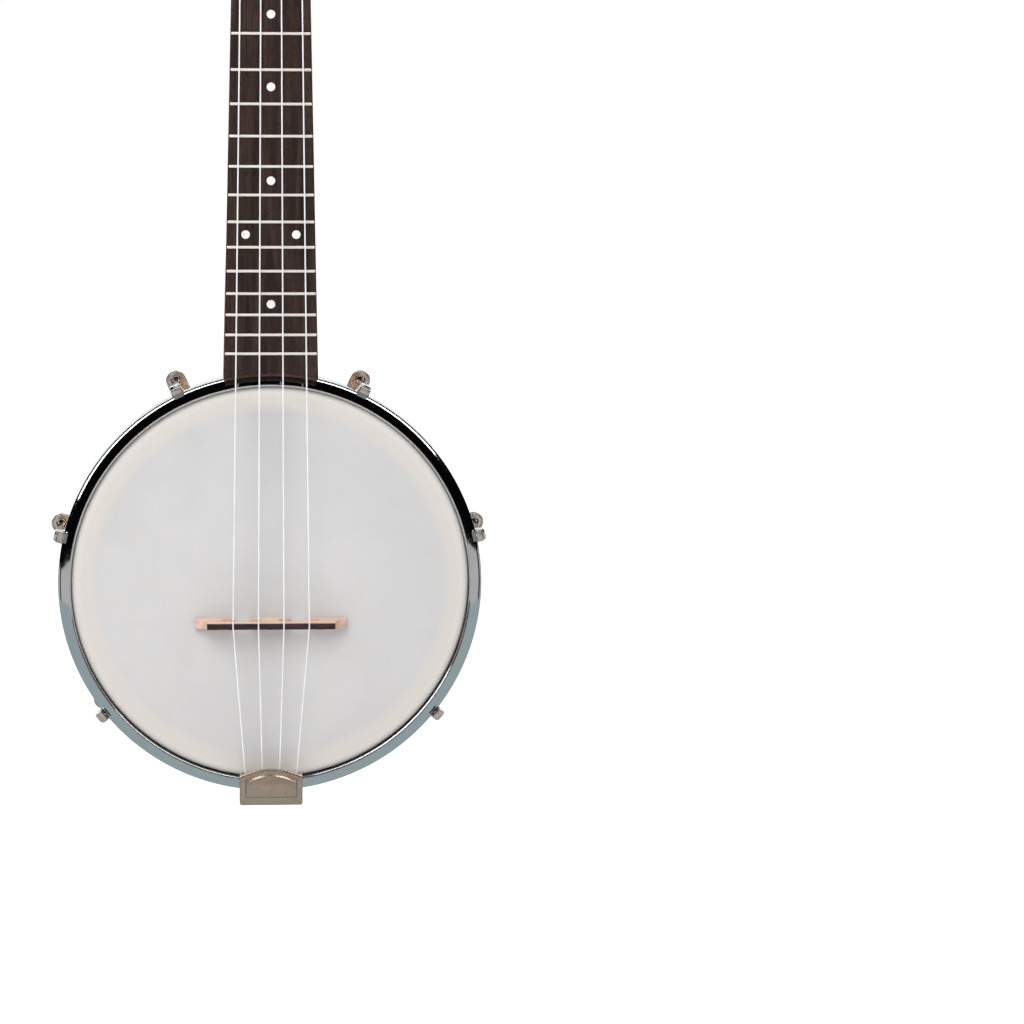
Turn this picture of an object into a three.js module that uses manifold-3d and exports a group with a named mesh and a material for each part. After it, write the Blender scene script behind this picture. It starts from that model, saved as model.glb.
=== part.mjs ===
// An open-back banjo ukulele, tenor size, held upright as it hangs on a wall: millimetres, +Z up the neck,
// the drum head facing -Y. Shapes are drawn about the centre of the drum head, on its front face, and the
// whole instrument is then placed so that the origin is where a wall hanger holds the headstock.
import * as THREE from 'three';
import { mergeVertices } from 'three/addons/utils/BufferGeometryUtils.js';
import Module from 'manifold-3d';

const wasm = await Module();
wasm.setup();

// Fits and cutting tools
const fit = 0.3; // gap between two seated pieces
const overrun = 2; // how far a cutting tool runs past what it cuts

// Rim: a laminated ring, its bearing edge to the front
const rimOuterRadius = 99.8;
const rimWall = 7.5;
const rimDepth = 59.3;
const bearingRounding = 1.1;
const rimChamfer = 0.8;
const ringSegments = 63;
const bracketCount = 7;

// Drum head: a film rolled over the bearing edge, crimped in the flesh hoop
const filmThickness = 0.4;
const collarDepth = 8.6;
const fleshHoopWidth = 2.6;
const fleshHoopDepth = 3.7;

// Tension hoop: a notched ring with a conical face, and a strap loop for each hook
const hoopSkirtWall = 4.9;
const hoopFront = -3;
const hoopDepth = 14;
const hoopLipWidth = 1.5;
const hoopLipRounding = 0.6;
const hoopConeDrop = 2.9;
const hoopEdgeRounding = 0.7;
const loopFront = 1.2;
const loopDepth = 6.4;
const loopFootHalfWidth = 5.4;
const loopTopHalfWidth = 3.1;
const loopShoulderHalfWidth = 3.9;
const loopWall = 1.1;
const loopRounding = 1.2;

// Hooks and their nuts
const hookRadius = 1.5;
const hookHeadLength = 5.9;
const hookHeadWidth = 3.3;
const hookHeadDepth = 3;
const hookHeadRounding = 0.7;
const hookSides = 8;
const nutFlangeRadius = 3.6;
const nutFlangeDepth = 1.8;
const nutNeckRadius = 2.6;
const nutNeckDepth = 5.4;
const nutSocketRadius = 2.3;
const nutSocketDepth = 1.4;
const nutSides = 12;

// Brackets: pressed straps that clip over the rim's back edge, with an ear bent out of the window
const bracketWidth = 17;
const bracketSheet = 1.3;
const bracketDepth = 18;
const bracketBend = 1.8;
const bracketRounding = 7;
const windowWidth = 11.3;
const windowInset = 2.4;
const earWidth = 10.4;
const earSetback = 12;
const earBossRadius = 4.4;
const earBossTopRadius = 3.8;
const earBossHeight = 0.8;
const earLipHeight = 1.1;
const earLipWidth = 1;

// Dowel stick, from the heel through the rim's notch to the tail
const dowelWidth = 24.5;
const dowelThickness = 20.2;
const dowelFront = 42;
const dowelReach = 39.2; // past the tension hoop, into the neck
const dowelTailGap = 2.3;
const dowelEndRounding = 7;
const dowelEdge = 1;
const notchClearance = 0.6;
const pocketRadius = 6.1;
const pocketDepth = 10;
const tailScrewRadius = 1.8;
const tailScrewHeadRadius = 3.4;
const tailScrewHeadDepth = 2.4;
const tailScrewGrip = 12;
const tailScrewSetback = 4.6;
const screwSides = 10;

// Scale and strings
const scaleLength = 431.8;
const twelfthFretRise = 64.6; // above the fretboard's end
const octaveFret = 12;
const fretCount = 17;
const bridgeDrop = 194; // below the twelfth fret
const stringRadius = 0.35;
const nutStringSpread = 29;
const bridgeStringSpread = 39;
const tailStringSpread = 25.8;
const stringNames = ['g', 'c', 'e', 'a'];

// Neck, fretboard and string nut
const boardEndGap = 0.4;
const boardFace = -7.1;
const boardThickness = 5.5;
const boardEndWidth = 48;
const nutWidth = 36;
const fretWidth = 2.4;
const fretHeight = 1;
const fretEndInset = 0.4;
const neckDepthAtNut = 16.5;
const neckDepthAtHeel = 19.3;
const heelBack = 41.7;
const heelRise = 75.4; // both above the tension hoop
const heelShoulderRise = 41.4;
const heelSquareness = 5;
const heelRings = 8;
const neckSteps = 16;
const nutLength = 5;
const nutRise = 2;
const slotDepth = 0.8;

// Headstock, tilted back from the nut
const headstockTilt = THREE.MathUtils.degToRad(12);
const headstockLength = 160;
const headstockThickness = 14;
const headstockHalfWidth = 33.5;
const headstockCurveSteps = 7;
const voluteLength = 16;
const voluteDepth = 12;
const voluteShare = 0.9;
const voluteSquareness = 4;
const lowerPostHeight = 48;
const upperPostHeight = 96;
const postOffset = 19.5;
const flareStartShare = 0.06;
const flareLowShare = 0.14;
const flareEndShare = 0.27;
const waistShare = 0.93;
const sideShare = 0.55;
const shoulderShare = 0.84;
const earShare = 0.95;
const crownShare = 0.5;
const dipShare = 0.94;

// Tuners
const postRadius = 3;
const postWaistRadius = 2.6;
const postHeight = 13;
const postWaistHeight = 5;
const postCapHeight = 3.2;
const postHoleRadius = 0.9;
const postSides = 12;
const bushingBodyRadius = 4;
const bushingFlangeRadius = 5.6;
const bushingFlangeHeight = 1.6;
const bushingDepth = 8;
const housingWidth = 14;
const housingLength = 21;
const housingDepth = 11;
const housingRounding = 3;
const housingBevel = 1;
const postEndDepth = 4;
const keyShaftRadius = 2;
const keyCollarRadius = 3;
const keyCollarLength = 2.4;
const keyShaftLength = 13;
const keyShaftGrip = 8;
const keyShaftInside = 8;
const wormOffset = 7;
const buttonLength = 17;
const buttonWidth = 15;
const buttonThickness = 6;
const buttonBevel = 1.6;
const windingTurns = 2.25;
const windingSteps = 16;
const windingPitch = 1.15;
const stringSides = 6;

// Bridge
const bridgeSpan = 77.7;
const bridgeFootWidth = 19.8;
const bridgeHeight = 12.7;
const bridgeFootThickness = 6;
const bridgeTopThickness = 3;
const bridgeArch = 7.7;
const bridgeToeReach = 6; // past each post
const bridgeToeHeight = 3.2;
const bridgeEndHeight = 4;
const capLength = 65.6;
const capHeight = 1.6;

// Tailpiece: a base held down by the bottom hook, and a hinged cover
const coverWidth = 32.3;
const coverOverhang = 5; // below the tension hoop
const coverSideHeight = 15;
const coverArchRise = 3.8;
const coverFront = -13;
const coverSheet = 1;
const coverSideDepth = 6.4;
const coverCornerRadius = 1.3;
const coverPanelInset = 2.8;
const coverPanelRise = 0.5;
const coverLipDepth = 1.8;
const baseSheet = 1.2;
const baseTopRise = 0.4; // above the cover's shoulders
const baseSkirtDepth = 12;
const baseSkirtGap = 0.4;
const baseEarHeight = 6.4;
const baseEarSheet = 0.9;
const stringLipDrop = 4; // below the cover's shoulders
const stringLipHeight = 4.6;
const stringHoleRadius = 0.8;
const stringAtTail = -7.2;
const knotRadius = 1.15;
const hingePinRadius = 0.8;
const hingePinBack = 3.4;
const hingePinRise = 2.4;

// Where the wall hanger's arms hold the headstock, above the nut
const hangerRise = 14;

// Sizes that follow from the ones above
const rimInnerRadius = rimOuterRadius - rimWall;
const rimFront = filmThickness + fit;
const rimBack = rimFront + rimDepth;
const collarInnerRadius = rimOuterRadius + fit;
const collarOuterRadius = collarInnerRadius + filmThickness;
const fleshInnerRadius = collarOuterRadius + fit;
const fleshOuterRadius = fleshInnerRadius + fleshHoopWidth;
const fleshBack = collarDepth + fit;
const fleshFront = fleshBack - fleshHoopDepth;
const hoopBack = hoopFront + hoopDepth;
const hoopSkirtRadius = fleshOuterRadius + fit;
const hoopInnerRadius = hoopSkirtRadius - hoopLipWidth;
const hoopOuterRadius = hoopSkirtRadius + hoopSkirtWall;
const hookCircle = hoopOuterRadius + fit + hookRadius;
const bracketInside = Math.sqrt(rimInnerRadius ** 2 - (bracketWidth / 2) ** 2) - fit;
const bracketOutside = rimOuterRadius + fit;
const bracketBack = rimBack + fit + bracketSheet;
const bracketEnd = rimBack - bracketDepth;
const earBack = rimBack - earSetback;
const earFront = earBack - bracketSheet;
const nutFlangeFront = earBack + earBossHeight + fit;
const nutFlangeBack = nutFlangeFront + nutFlangeDepth;
const hookEnd = nutFlangeBack - nutSocketDepth;
const dowelBack = dowelFront + dowelThickness;
const dowelTail = -rimInnerRadius + dowelTailGap;
const dowelTop = hoopOuterRadius + dowelReach;
const tailScrewDepth = dowelFront + tailScrewSetback;
const boardBack = boardFace + boardThickness;
const neckFront = boardBack + fit;
const heelTop = hoopOuterRadius + heelRise;
const heelShoulder = hoopOuterRadius + heelShoulderRise;
const boardEnd = hoopOuterRadius + boardEndGap;
const twelfthFretHeight = boardEnd + twelfthFretRise;
const nutHeight = twelfthFretHeight + scaleLength / 2;
const bridgeHeightOnHead = twelfthFretHeight - bridgeDrop;
const headstockFoot = nutHeight + nutLength;
const stringAtNut = boardFace - fretHeight - nutRise / 4 - stringRadius;
const bridgeTop = -(fit + bridgeHeight);
const stringAtBridge = bridgeTop + slotDepth / 2 - fit / 2 - stringRadius;
const windingRadius = postWaistRadius + fit + stringRadius;
const windingTop = -(postHeight - postCapHeight - stringRadius - fit);
const housingFront = headstockThickness + fit;
const housingBack = housingFront + housingDepth;
const keyAxisDepth = housingFront + housingDepth / 2;
const skirtInside = -(hookCircle + hookRadius + baseSkirtGap);
const skirtOutside = skirtInside - coverSheet;
const coverFoot = -(hoopOuterRadius + coverOverhang);
const coverShoulder = coverFoot + coverSideHeight;
const coverApex = coverShoulder + coverArchRise;
const baseTop = coverShoulder + baseTopRise;
const stringLip = coverShoulder - stringLipDrop;
const baseBack = hoopFront - fit;
const baseFront = baseBack - baseSheet;
const baseHalfWidth = coverWidth / 2 - coverSheet - fit;
const hingeDepth = coverFront + hingePinBack;
const hingeHeight = coverFoot + hingePinRise;
const hangerHeight = headstockFoot + hangerRise;
const hangerDepth = neckFront + hangerRise * Math.tan(headstockTilt) + headstockThickness / 2;

// Drops faces with no area and merges shared points, so that a closed geometry becomes a solid.
function toSolid(geometry) {
  const bare = new THREE.BufferGeometry();
  const source = geometry.index ? geometry.toNonIndexed() : geometry;
  bare.setAttribute('position', source.getAttribute('position').clone());
  const merged = mergeVertices(bare, 1e-4);
  const triVerts = [];
  const index = merged.index.array;
  for (let i = 0; i < index.length; i += 3) {
    const [a, b, c] = [index[i], index[i + 1], index[i + 2]];
    if (a !== b && b !== c && c !== a) triVerts.push(a, b, c);
  }
  const vertProperties = merged.getAttribute('position').array;
  return new wasm.Manifold(
    new wasm.Mesh({ numProp: 3, vertProperties, triVerts: new Uint32Array(triVerts) }),
  );
}

function toGeometry(solid) {
  const mesh = solid.getMesh();
  const geometry = new THREE.BufferGeometry();
  geometry.setAttribute('position', new THREE.BufferAttribute(new Float32Array(mesh.vertProperties), 3));
  geometry.setIndex(new THREE.BufferAttribute(new Uint32Array(mesh.triVerts), 1));
  return geometry;
}

// Joins the first list of geometries and cuts the second list out of them.
function joinAndCut(joined, cuts = []) {
  let solid = toSolid(joined[0]);
  for (const geometry of joined.slice(1)) solid = solid.add(toSolid(geometry));
  for (const geometry of cuts) solid = solid.subtract(toSolid(geometry));
  return toGeometry(solid);
}

function common(first, second) {
  return toGeometry(toSolid(first).intersect(toSolid(second)));
}

function box(low, high) {
  const size = high.map((value, axis) => value - low[axis]);
  const centre = high.map((value, axis) => (value + low[axis]) / 2);
  return new THREE.BoxGeometry(...size).translate(...centre);
}

// An outline in X and Z, given a thickness from front to back along Y.
function faceOn(shape, front, back, options = {}) {
  const settings = { depth: back - front, bevelEnabled: false, curveSegments: 6, ...options };
  return new THREE.ExtrudeGeometry(shape, settings).rotateX(Math.PI / 2).translate(0, back, 0);
}

// An outline in Y and Z, given a width along X about the centre.
function sideOn(shape, halfWidth, options = {}) {
  const settings = { depth: 2 * halfWidth, bevelEnabled: false, curveSegments: 4, ...options };
  const axes = new THREE.Matrix4().makeBasis(
    new THREE.Vector3(0, 1, 0),
    new THREE.Vector3(0, 0, 1),
    new THREE.Vector3(1, 0, 0),
  );
  return new THREE.ExtrudeGeometry(shape, settings).applyMatrix4(axes).translate(-halfWidth, 0, 0);
}

// An outline in X and Y, given a length along Z.
function endOn(shape, low, high, options = {}) {
  const settings = { depth: high - low, bevelEnabled: false, curveSegments: 6, ...options };
  return new THREE.ExtrudeGeometry(shape, settings).translate(0, 0, low);
}

// A round bar along Y between two depths, with its axis at x and z.
function barAlongY(radius, front, back, sides, x = 0, z = 0) {
  return new THREE.CylinderGeometry(radius, radius, back - front, sides).translate(x, (front + back) / 2, z);
}

function barAlongX(radius, low, high, sides, y, z) {
  const bar = new THREE.CylinderGeometry(radius, radius, high - low, sides).rotateZ(Math.PI / 2);
  return bar.translate((low + high) / 2, y, z);
}

function barAlongZ(radius, low, high, sides, x, y) {
  const bar = new THREE.CylinderGeometry(radius, radius, high - low, sides).rotateX(Math.PI / 2);
  return bar.translate(x, y, (low + high) / 2);
}

// Points of an arc in the plane of a profile, angles in quarter turns.
function arc(centreX, centreY, radius, fromQuarter, toQuarter, steps = 2) {
  const points = [];
  for (let i = 0; i <= steps; i += 1) {
    const angle = (Math.PI / 2) * (fromQuarter + ((toQuarter - fromQuarter) * i) / steps);
    points.push([centreX + radius * Math.cos(angle), centreY + radius * Math.sin(angle)]);
  }
  return points;
}

// Turns a profile of [radius, depth] points about the Y axis; a ring's profile closes on itself.
function turned(profile, segments, closed = true) {
  const points = profile.map(([radius, depth]) => new THREE.Vector2(radius, depth));
  if (closed) points.push(points[0].clone());
  const geometry = new THREE.LatheGeometry(points, segments);
  return facingOut(geometry);
}

// Reverses the faces of a closed geometry whose volume comes out negative.
function facingOut(geometry) {
  const position = geometry.getAttribute('position');
  const index = geometry.index.array;
  const corner = [new THREE.Vector3(), new THREE.Vector3(), new THREE.Vector3()];
  let volume = 0;
  for (let i = 0; i < index.length; i += 3) {
    corner.forEach((point, k) => point.fromBufferAttribute(position, index[i + k]));
    volume += corner[0].dot(corner[1].clone().cross(corner[2]));
  }
  if (volume < 0) {
    for (let i = 0; i < index.length; i += 3) [index[i], index[i + 1]] = [index[i + 1], index[i]];
  }
  return geometry;
}

// Skins a row of rings, each with as many points, and closes both ends.
function loft(rings) {
  const count = rings[0].length;
  const positions = rings.flat().flatMap((point) => [point.x, point.y, point.z]);
  const index = [];
  for (let i = 0; i < rings.length - 1; i += 1) {
    for (let j = 0; j < count; j += 1) {
      const next = (j + 1) % count;
      const [a, b] = [i * count + j, i * count + next];
      index.push(a, b, b + count, a, b + count, a + count);
    }
  }
  for (const [ring, start] of [[rings[0], 0], [rings[rings.length - 1], (rings.length - 1) * count]]) {
    const centre = ring.reduce((sum, point) => sum.add(point), new THREE.Vector3()).divideScalar(count);
    const middle = positions.length / 3;
    positions.push(centre.x, centre.y, centre.z);
    for (let j = 0; j < count; j += 1) {
      const next = (j + 1) % count;
      if (start === 0) index.push(middle, next, j);
      else index.push(middle, start + j, start + next);
    }
  }
  const geometry = new THREE.BufferGeometry();
  geometry.setAttribute('position', new THREE.Float32BufferAttribute(positions, 3));
  geometry.setIndex(index);
  return facingOut(geometry);
}

// A round cord along a row of points, its rings turned as little as the route allows.
function cordAlong(points, radius, sides) {
  const tangentAt = (i) => {
    const before = points[Math.max(i - 1, 0)];
    const after = points[Math.min(i + 1, points.length - 1)];
    return after.clone().sub(before).normalize();
  };
  let normal = new THREE.Vector3(1, 0, 0);
  const rings = points.map((point, i) => {
    const tangent = tangentAt(i);
    normal = normal.clone().addScaledVector(tangent, -normal.dot(tangent)).normalize();
    const side = tangent.clone().cross(normal);
    return Array.from({ length: sides }, (_, j) => {
      const angle = (2 * Math.PI * j) / sides;
      const offset = normal.clone().multiplyScalar(Math.cos(angle)).addScaledVector(side, Math.sin(angle));
      return point.clone().addScaledVector(offset, radius);
    });
  });
  return loft(rings);
}

function rectangle(halfWidth, low, high, radius = 0) {
  const shape = new THREE.Shape();
  if (radius === 0) {
    shape.moveTo(-halfWidth, low).lineTo(halfWidth, low).lineTo(halfWidth, high).lineTo(-halfWidth, high);
    return shape;
  }
  shape.moveTo(-halfWidth + radius, low);
  shape.lineTo(halfWidth - radius, low).quadraticCurveTo(halfWidth, low, halfWidth, low + radius);
  shape.lineTo(halfWidth, high - radius).quadraticCurveTo(halfWidth, high, halfWidth - radius, high);
  shape.lineTo(-halfWidth + radius, high).quadraticCurveTo(-halfWidth, high, -halfWidth, high - radius);
  shape.lineTo(-halfWidth, low + radius).quadraticCurveTo(-halfWidth, low, -halfWidth + radius, low);
  return shape;
}

function polygon(points) {
  return new THREE.Shape(points.map(([a, b]) => new THREE.Vector2(a, b)));
}

// Finishes, one for each kind of surface
const finishes = {
  maple: new THREE.MeshStandardMaterial({ color: 0xdcb88c, roughness: 0.5 }),
  film: new THREE.MeshStandardMaterial({ color: 0xd8d8d6, roughness: 0.6 }),
  alloy: new THREE.MeshStandardMaterial({ color: 0xb8bcc0, roughness: 0.4, metalness: 1 }),
  chrome: new THREE.MeshStandardMaterial({ color: 0xc9cdd1, roughness: 0.12, metalness: 1 }),
  nickel: new THREE.MeshStandardMaterial({ color: 0xa89f95, roughness: 0.3, metalness: 1 }),
  satinNickel: new THREE.MeshStandardMaterial({ color: 0x8f8478, roughness: 0.5, metalness: 1 }),
  neckWood: new THREE.MeshStandardMaterial({ color: 0x7b4f3c, roughness: 0.45 }),
  dowelWood: new THREE.MeshStandardMaterial({ color: 0xd88e5c, roughness: 0.5 }),
  darkWood: new THREE.MeshStandardMaterial({ color: 0x3b302d, roughness: 0.55 }),
  bridgeWood: new THREE.MeshStandardMaterial({ color: 0xe0b495, roughness: 0.5 }),
  bone: new THREE.MeshStandardMaterial({ color: 0xe9e2d0, roughness: 0.4 }),
  nylon: new THREE.MeshStandardMaterial({ color: 0xe8ebec, roughness: 0.25 }),
};

const instrument = new THREE.Group();
instrument.position.set(0, -hangerDepth, -hangerHeight);

function place(name, geometry, finish, parent = instrument) {
  const mesh = new THREE.Mesh(geometry, finish);
  mesh.name = name;
  parent.add(mesh);
  return mesh;
}

// A group whose own +Z points out of the pot at a clock angle, with X along the rim
function groupOnRim(angle) {
  const group = new THREE.Group();
  group.rotation.y = Math.PI / 2 - angle;
  instrument.add(group);
  return group;
}

// Clock angles of the brackets, the fourth straight down at the tail
const hardwareAngles = Array.from(
  { length: bracketCount },
  (_, i) => -Math.PI / 2 + (2 * Math.PI * ((bracketCount - 1) / 2 - i)) / bracketCount,
);
const tailIndex = (bracketCount - 1) / 2;

// Pot
function makeRim() {
  const edge = rimOuterRadius - bearingRounding;
  const ring = turned(
    [
      [rimInnerRadius, rimFront + bearingRounding],
      [rimInnerRadius + bearingRounding, rimFront],
      ...arc(edge, rimFront + bearingRounding, bearingRounding, -1, 0),
      [rimOuterRadius, rimBack - rimChamfer],
      [rimOuterRadius - rimChamfer, rimBack],
      [rimInnerRadius + rimChamfer, rimBack],
      [rimInnerRadius, rimBack - rimChamfer],
    ],
    ringSegments,
  );
  const notch = box(
    [-dowelWidth / 2 - notchClearance, dowelFront - fit, 0],
    [dowelWidth / 2 + notchClearance, rimBack + overrun, rimOuterRadius + overrun],
  );
  const screwHole = tailScrewShape(fit).translate(0, tailScrewDepth, 0);
  return joinAndCut([ring], [notch, screwHole]);
}

function makeDrumHead() {
  const centre = rimOuterRadius - bearingRounding;
  const inner = bearingRounding + fit;
  const outer = inner + filmThickness;
  return turned(
    [
      [0, 0],
      ...arc(centre, outer, outer, -1, 0),
      [collarOuterRadius, collarDepth],
      [collarInnerRadius, collarDepth],
      ...arc(centre, outer, inner, 0, -1),
      [0, filmThickness],
    ],
    ringSegments,
    false,
  );
}

function makeFleshHoop() {
  return turned(
    [
      [fleshInnerRadius, fleshFront],
      [fleshOuterRadius, fleshFront],
      [fleshOuterRadius, fleshBack],
      [fleshInnerRadius, fleshBack],
    ],
    ringSegments,
  );
}

// One strap loop, drawn with +Z out of the pot
function hoopLoop() {
  const foot = hoopSkirtRadius + (hoopOuterRadius - hoopSkirtRadius) / 2;
  const top = hookCircle + hookRadius + fit + loopWall;
  const shoulder = hoopOuterRadius + loopRounding;
  const shape = new THREE.Shape();
  shape.moveTo(-loopFootHalfWidth, foot).lineTo(loopFootHalfWidth, foot);
  shape.lineTo(loopFootHalfWidth, hoopOuterRadius);
  shape.quadraticCurveTo(loopShoulderHalfWidth, hoopOuterRadius, loopShoulderHalfWidth, shoulder);
  shape.lineTo(loopTopHalfWidth, top - loopRounding);
  shape.quadraticCurveTo(loopTopHalfWidth, top, loopTopHalfWidth - loopRounding, top);
  shape.lineTo(-loopTopHalfWidth + loopRounding, top);
  shape.quadraticCurveTo(-loopTopHalfWidth, top, -loopTopHalfWidth, top - loopRounding);
  shape.lineTo(-loopShoulderHalfWidth, shoulder);
  shape.quadraticCurveTo(-loopShoulderHalfWidth, hoopOuterRadius, -loopFootHalfWidth, hoopOuterRadius);
  return faceOn(shape, loopFront, loopFront + loopDepth, { curveSegments: 2 });
}

function makeTensionHoop() {
  const cone = hoopFront + hoopConeDrop;
  const ring = turned(
    [
      [hoopInnerRadius, fleshFront - fit],
      [hoopInnerRadius, hoopFront + hoopLipRounding],
      [hoopInnerRadius + hoopLipRounding, hoopFront],
      [hoopInnerRadius + hoopLipWidth, hoopFront],
      [hoopOuterRadius - hoopEdgeRounding, cone],
      [hoopOuterRadius, cone + hoopEdgeRounding],
      [hoopOuterRadius, hoopBack],
      [hoopSkirtRadius, hoopBack],
      [hoopSkirtRadius, fleshFront - fit],
    ],
    ringSegments,
  );
  const loops = [];
  const holes = [];
  hardwareAngles.forEach((angle, i) => {
    if (i === tailIndex) return;
    const turn = Math.PI / 2 - angle;
    loops.push(hoopLoop().rotateY(turn));
    const hole = barAlongY(hookRadius + fit, loopFront - overrun, loopFront + loopDepth + overrun, hookSides);
    holes.push(hole.translate(0, 0, hookCircle).rotateY(turn));
  });
  return joinAndCut([ring, ...loops], holes);
}

function makeBracket(withScrewHole) {
  const inner = bracketInside - bracketSheet;
  const outer = bracketOutside + bracketSheet;
  const bend = bracketBend;
  const strip = sideOn(
    polygon([
      [bracketEnd, inner],
      ...arc(bracketBack - bend, inner + bend, bend, -1, 0),
      ...arc(bracketBack - bend, outer - bend, bend, 0, 1),
      [bracketEnd, outer],
      [bracketEnd, bracketOutside],
      [bracketBack - bracketSheet, bracketOutside],
      [bracketBack - bracketSheet, bracketInside],
      [bracketEnd, bracketInside],
    ]),
    bracketWidth / 2,
  );
  const half = bracketWidth / 2;
  const flank = half - bracketRounding;
  const outline = polygon([
    ...arc(flank, bracketEnd + bracketRounding, bracketRounding, -1, 0, 3),
    [half, bracketBack + overrun],
    [-half, bracketBack + overrun],
    ...arc(-flank, bracketEnd + bracketRounding, bracketRounding, 2, 3, 3),
  ]);
  const trimmed = common(strip, endOn(outline, inner - overrun, outer + overrun));
  const windowTop = bracketInside + windowInset;
  const arch = windowTop + windowWidth / 3;
  const opening = new THREE.Shape();
  opening.moveTo(windowWidth / 2, outer + overrun).lineTo(-windowWidth / 2, outer + overrun);
  opening.lineTo(-windowWidth / 2, arch).quadraticCurveTo(-windowWidth / 2, windowTop, 0, windowTop);
  opening.quadraticCurveTo(windowWidth / 2, windowTop, windowWidth / 2, arch);
  const ear = new THREE.Shape();
  const root = bracketOutside + bracketSheet / 2;
  ear.moveTo(-earWidth / 2, root).lineTo(-earWidth / 2, hookCircle);
  ear.absarc(0, hookCircle, earWidth / 2, Math.PI, 0, true);
  ear.lineTo(earWidth / 2, root);
  const lip = box([0, earFront - earLipHeight, root], [earLipWidth, earFront + bracketSheet / 2, hookCircle]);
  const boss = new THREE.CylinderGeometry(
    earBossTopRadius,
    earBossRadius,
    earBossHeight + bracketSheet / 2,
    nutSides,
  ).translate(0, earBack + (earBossHeight - bracketSheet / 2) / 2, hookCircle);
  const hole = barAlongY(nutNeckRadius + fit, earFront - overrun, earBack + overrun, nutSides, 0, hookCircle);
  const joined = [
    joinAndCut([trimmed], [faceOn(opening, earBack, bracketBack + overrun)]),
    faceOn(ear, earFront, earBack, { curveSegments: 8 }),
    lip.clone().translate(earWidth / 2 - earLipWidth, 0, 0),
    lip.clone().translate(-earWidth / 2, 0, 0),
    boss,
  ];
  const cuts = [hole];
  if (withScrewHole) {
    const reach = [inner - overrun, bracketInside + overrun];
    cuts.push(barAlongZ(tailScrewRadius + fit, ...reach, screwSides, 0, tailScrewDepth));
  }
  return joinAndCut(joined, cuts);
}

// A hook: a block head, the shank, and its threaded end inside the nut
function makeHook(seat) {
  const front = seat - fit - hookHeadDepth;
  const bevel = hookHeadRounding / 2;
  const outline = rectangle(
    hookHeadLength / 2 - bevel,
    hookCircle - hookHeadWidth / 2 + bevel,
    hookCircle + hookHeadWidth / 2 - bevel,
    hookHeadRounding,
  );
  const head = faceOn(outline, front + bevel, seat - fit - bevel, {
    bevelEnabled: true,
    bevelSize: bevel,
    bevelThickness: bevel,
    bevelSegments: 1,
    curveSegments: 2,
  });
  const shank = barAlongY(hookRadius, front + hookHeadDepth / 2, hookEnd, hookSides, 0, hookCircle);
  return joinAndCut([head, shank]);
}

function makeHookNut() {
  const bore = hookRadius + fit;
  const neckFrontEnd = nutFlangeFront - nutNeckDepth;
  const chamfer = (nutFlangeRadius - nutNeckRadius) / 2;
  const body = turned(
    [
      [bore, neckFrontEnd],
      [nutNeckRadius, neckFrontEnd],
      [nutNeckRadius, nutFlangeFront],
      [nutFlangeRadius, nutFlangeFront],
      [nutFlangeRadius, nutFlangeBack - chamfer],
      [nutFlangeRadius - chamfer, nutFlangeBack],
      [bore, nutFlangeBack],
    ],
    nutSides,
  );
  const socket = barAlongY(nutSocketRadius, hookEnd, nutFlangeBack + overrun, 6);
  return joinAndCut([body], [socket]).translate(0, 0, hookCircle);
}

// The tail screw lies along Z below the head's centre, its countersunk head flush with the rim
function tailScrewShape(clearance) {
  const headTop = -rimOuterRadius + tailScrewHeadDepth / 2;
  const tip = -rimInnerRadius + dowelTailGap + tailScrewGrip;
  const points = [
    [0, headTop - clearance],
    [tailScrewHeadRadius + clearance, headTop - clearance],
    [tailScrewHeadRadius + clearance, headTop],
    [tailScrewRadius + clearance, headTop + tailScrewHeadDepth],
    [tailScrewRadius + clearance, tip + clearance],
    [0, tip + clearance],
  ];
  if (clearance > 0) {
    points[0][1] = -rimOuterRadius - overrun;
    points[1][1] = -rimOuterRadius - overrun;
  }
  return turned(points, screwSides, false).rotateX(Math.PI / 2);
}

function makeDowelStick() {
  const half = dowelWidth / 2 - dowelEdge;
  const top = dowelTop - dowelEdge;
  const tail = dowelTail + dowelEdge;
  const shape = new THREE.Shape();
  shape.moveTo(-half, tail).lineTo(half, tail).lineTo(half, top - dowelEndRounding);
  shape.quadraticCurveTo(half, top, half - dowelEndRounding, top);
  shape.lineTo(-half + dowelEndRounding, top);
  shape.quadraticCurveTo(-half, top, -half, top - dowelEndRounding);
  const stick = faceOn(shape, dowelFront + dowelEdge, dowelBack - dowelEdge, {
    bevelEnabled: true,
    bevelSize: dowelEdge,
    bevelThickness: dowelEdge,
    bevelSegments: 2,
  });
  const pocket = barAlongY(pocketRadius, dowelBack - pocketDepth, dowelBack + overrun, 20, 0, dowelTail);
  const screwHole = tailScrewShape(fit).translate(0, tailScrewDepth, 0);
  return joinAndCut([stick], [pocket, screwHole]);
}

// Height of a fret above the head's centre, by the rule of equal temperament
function fretAt(number) {
  return nutHeight - scaleLength * (1 - 2 ** (-number / octaveFret));
}

function boardHalfWidthAt(height) {
  const share = (height - boardEnd) / (nutHeight - boardEnd);
  return (boardEndWidth + (nutWidth - boardEndWidth) * share) / 2;
}

// A closed cylinder about the pot's axis that clears the pot from the neck
function potClearance(radius, front, back) {
  return barAlongY(radius, front, back, ringSegments);
}

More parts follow.
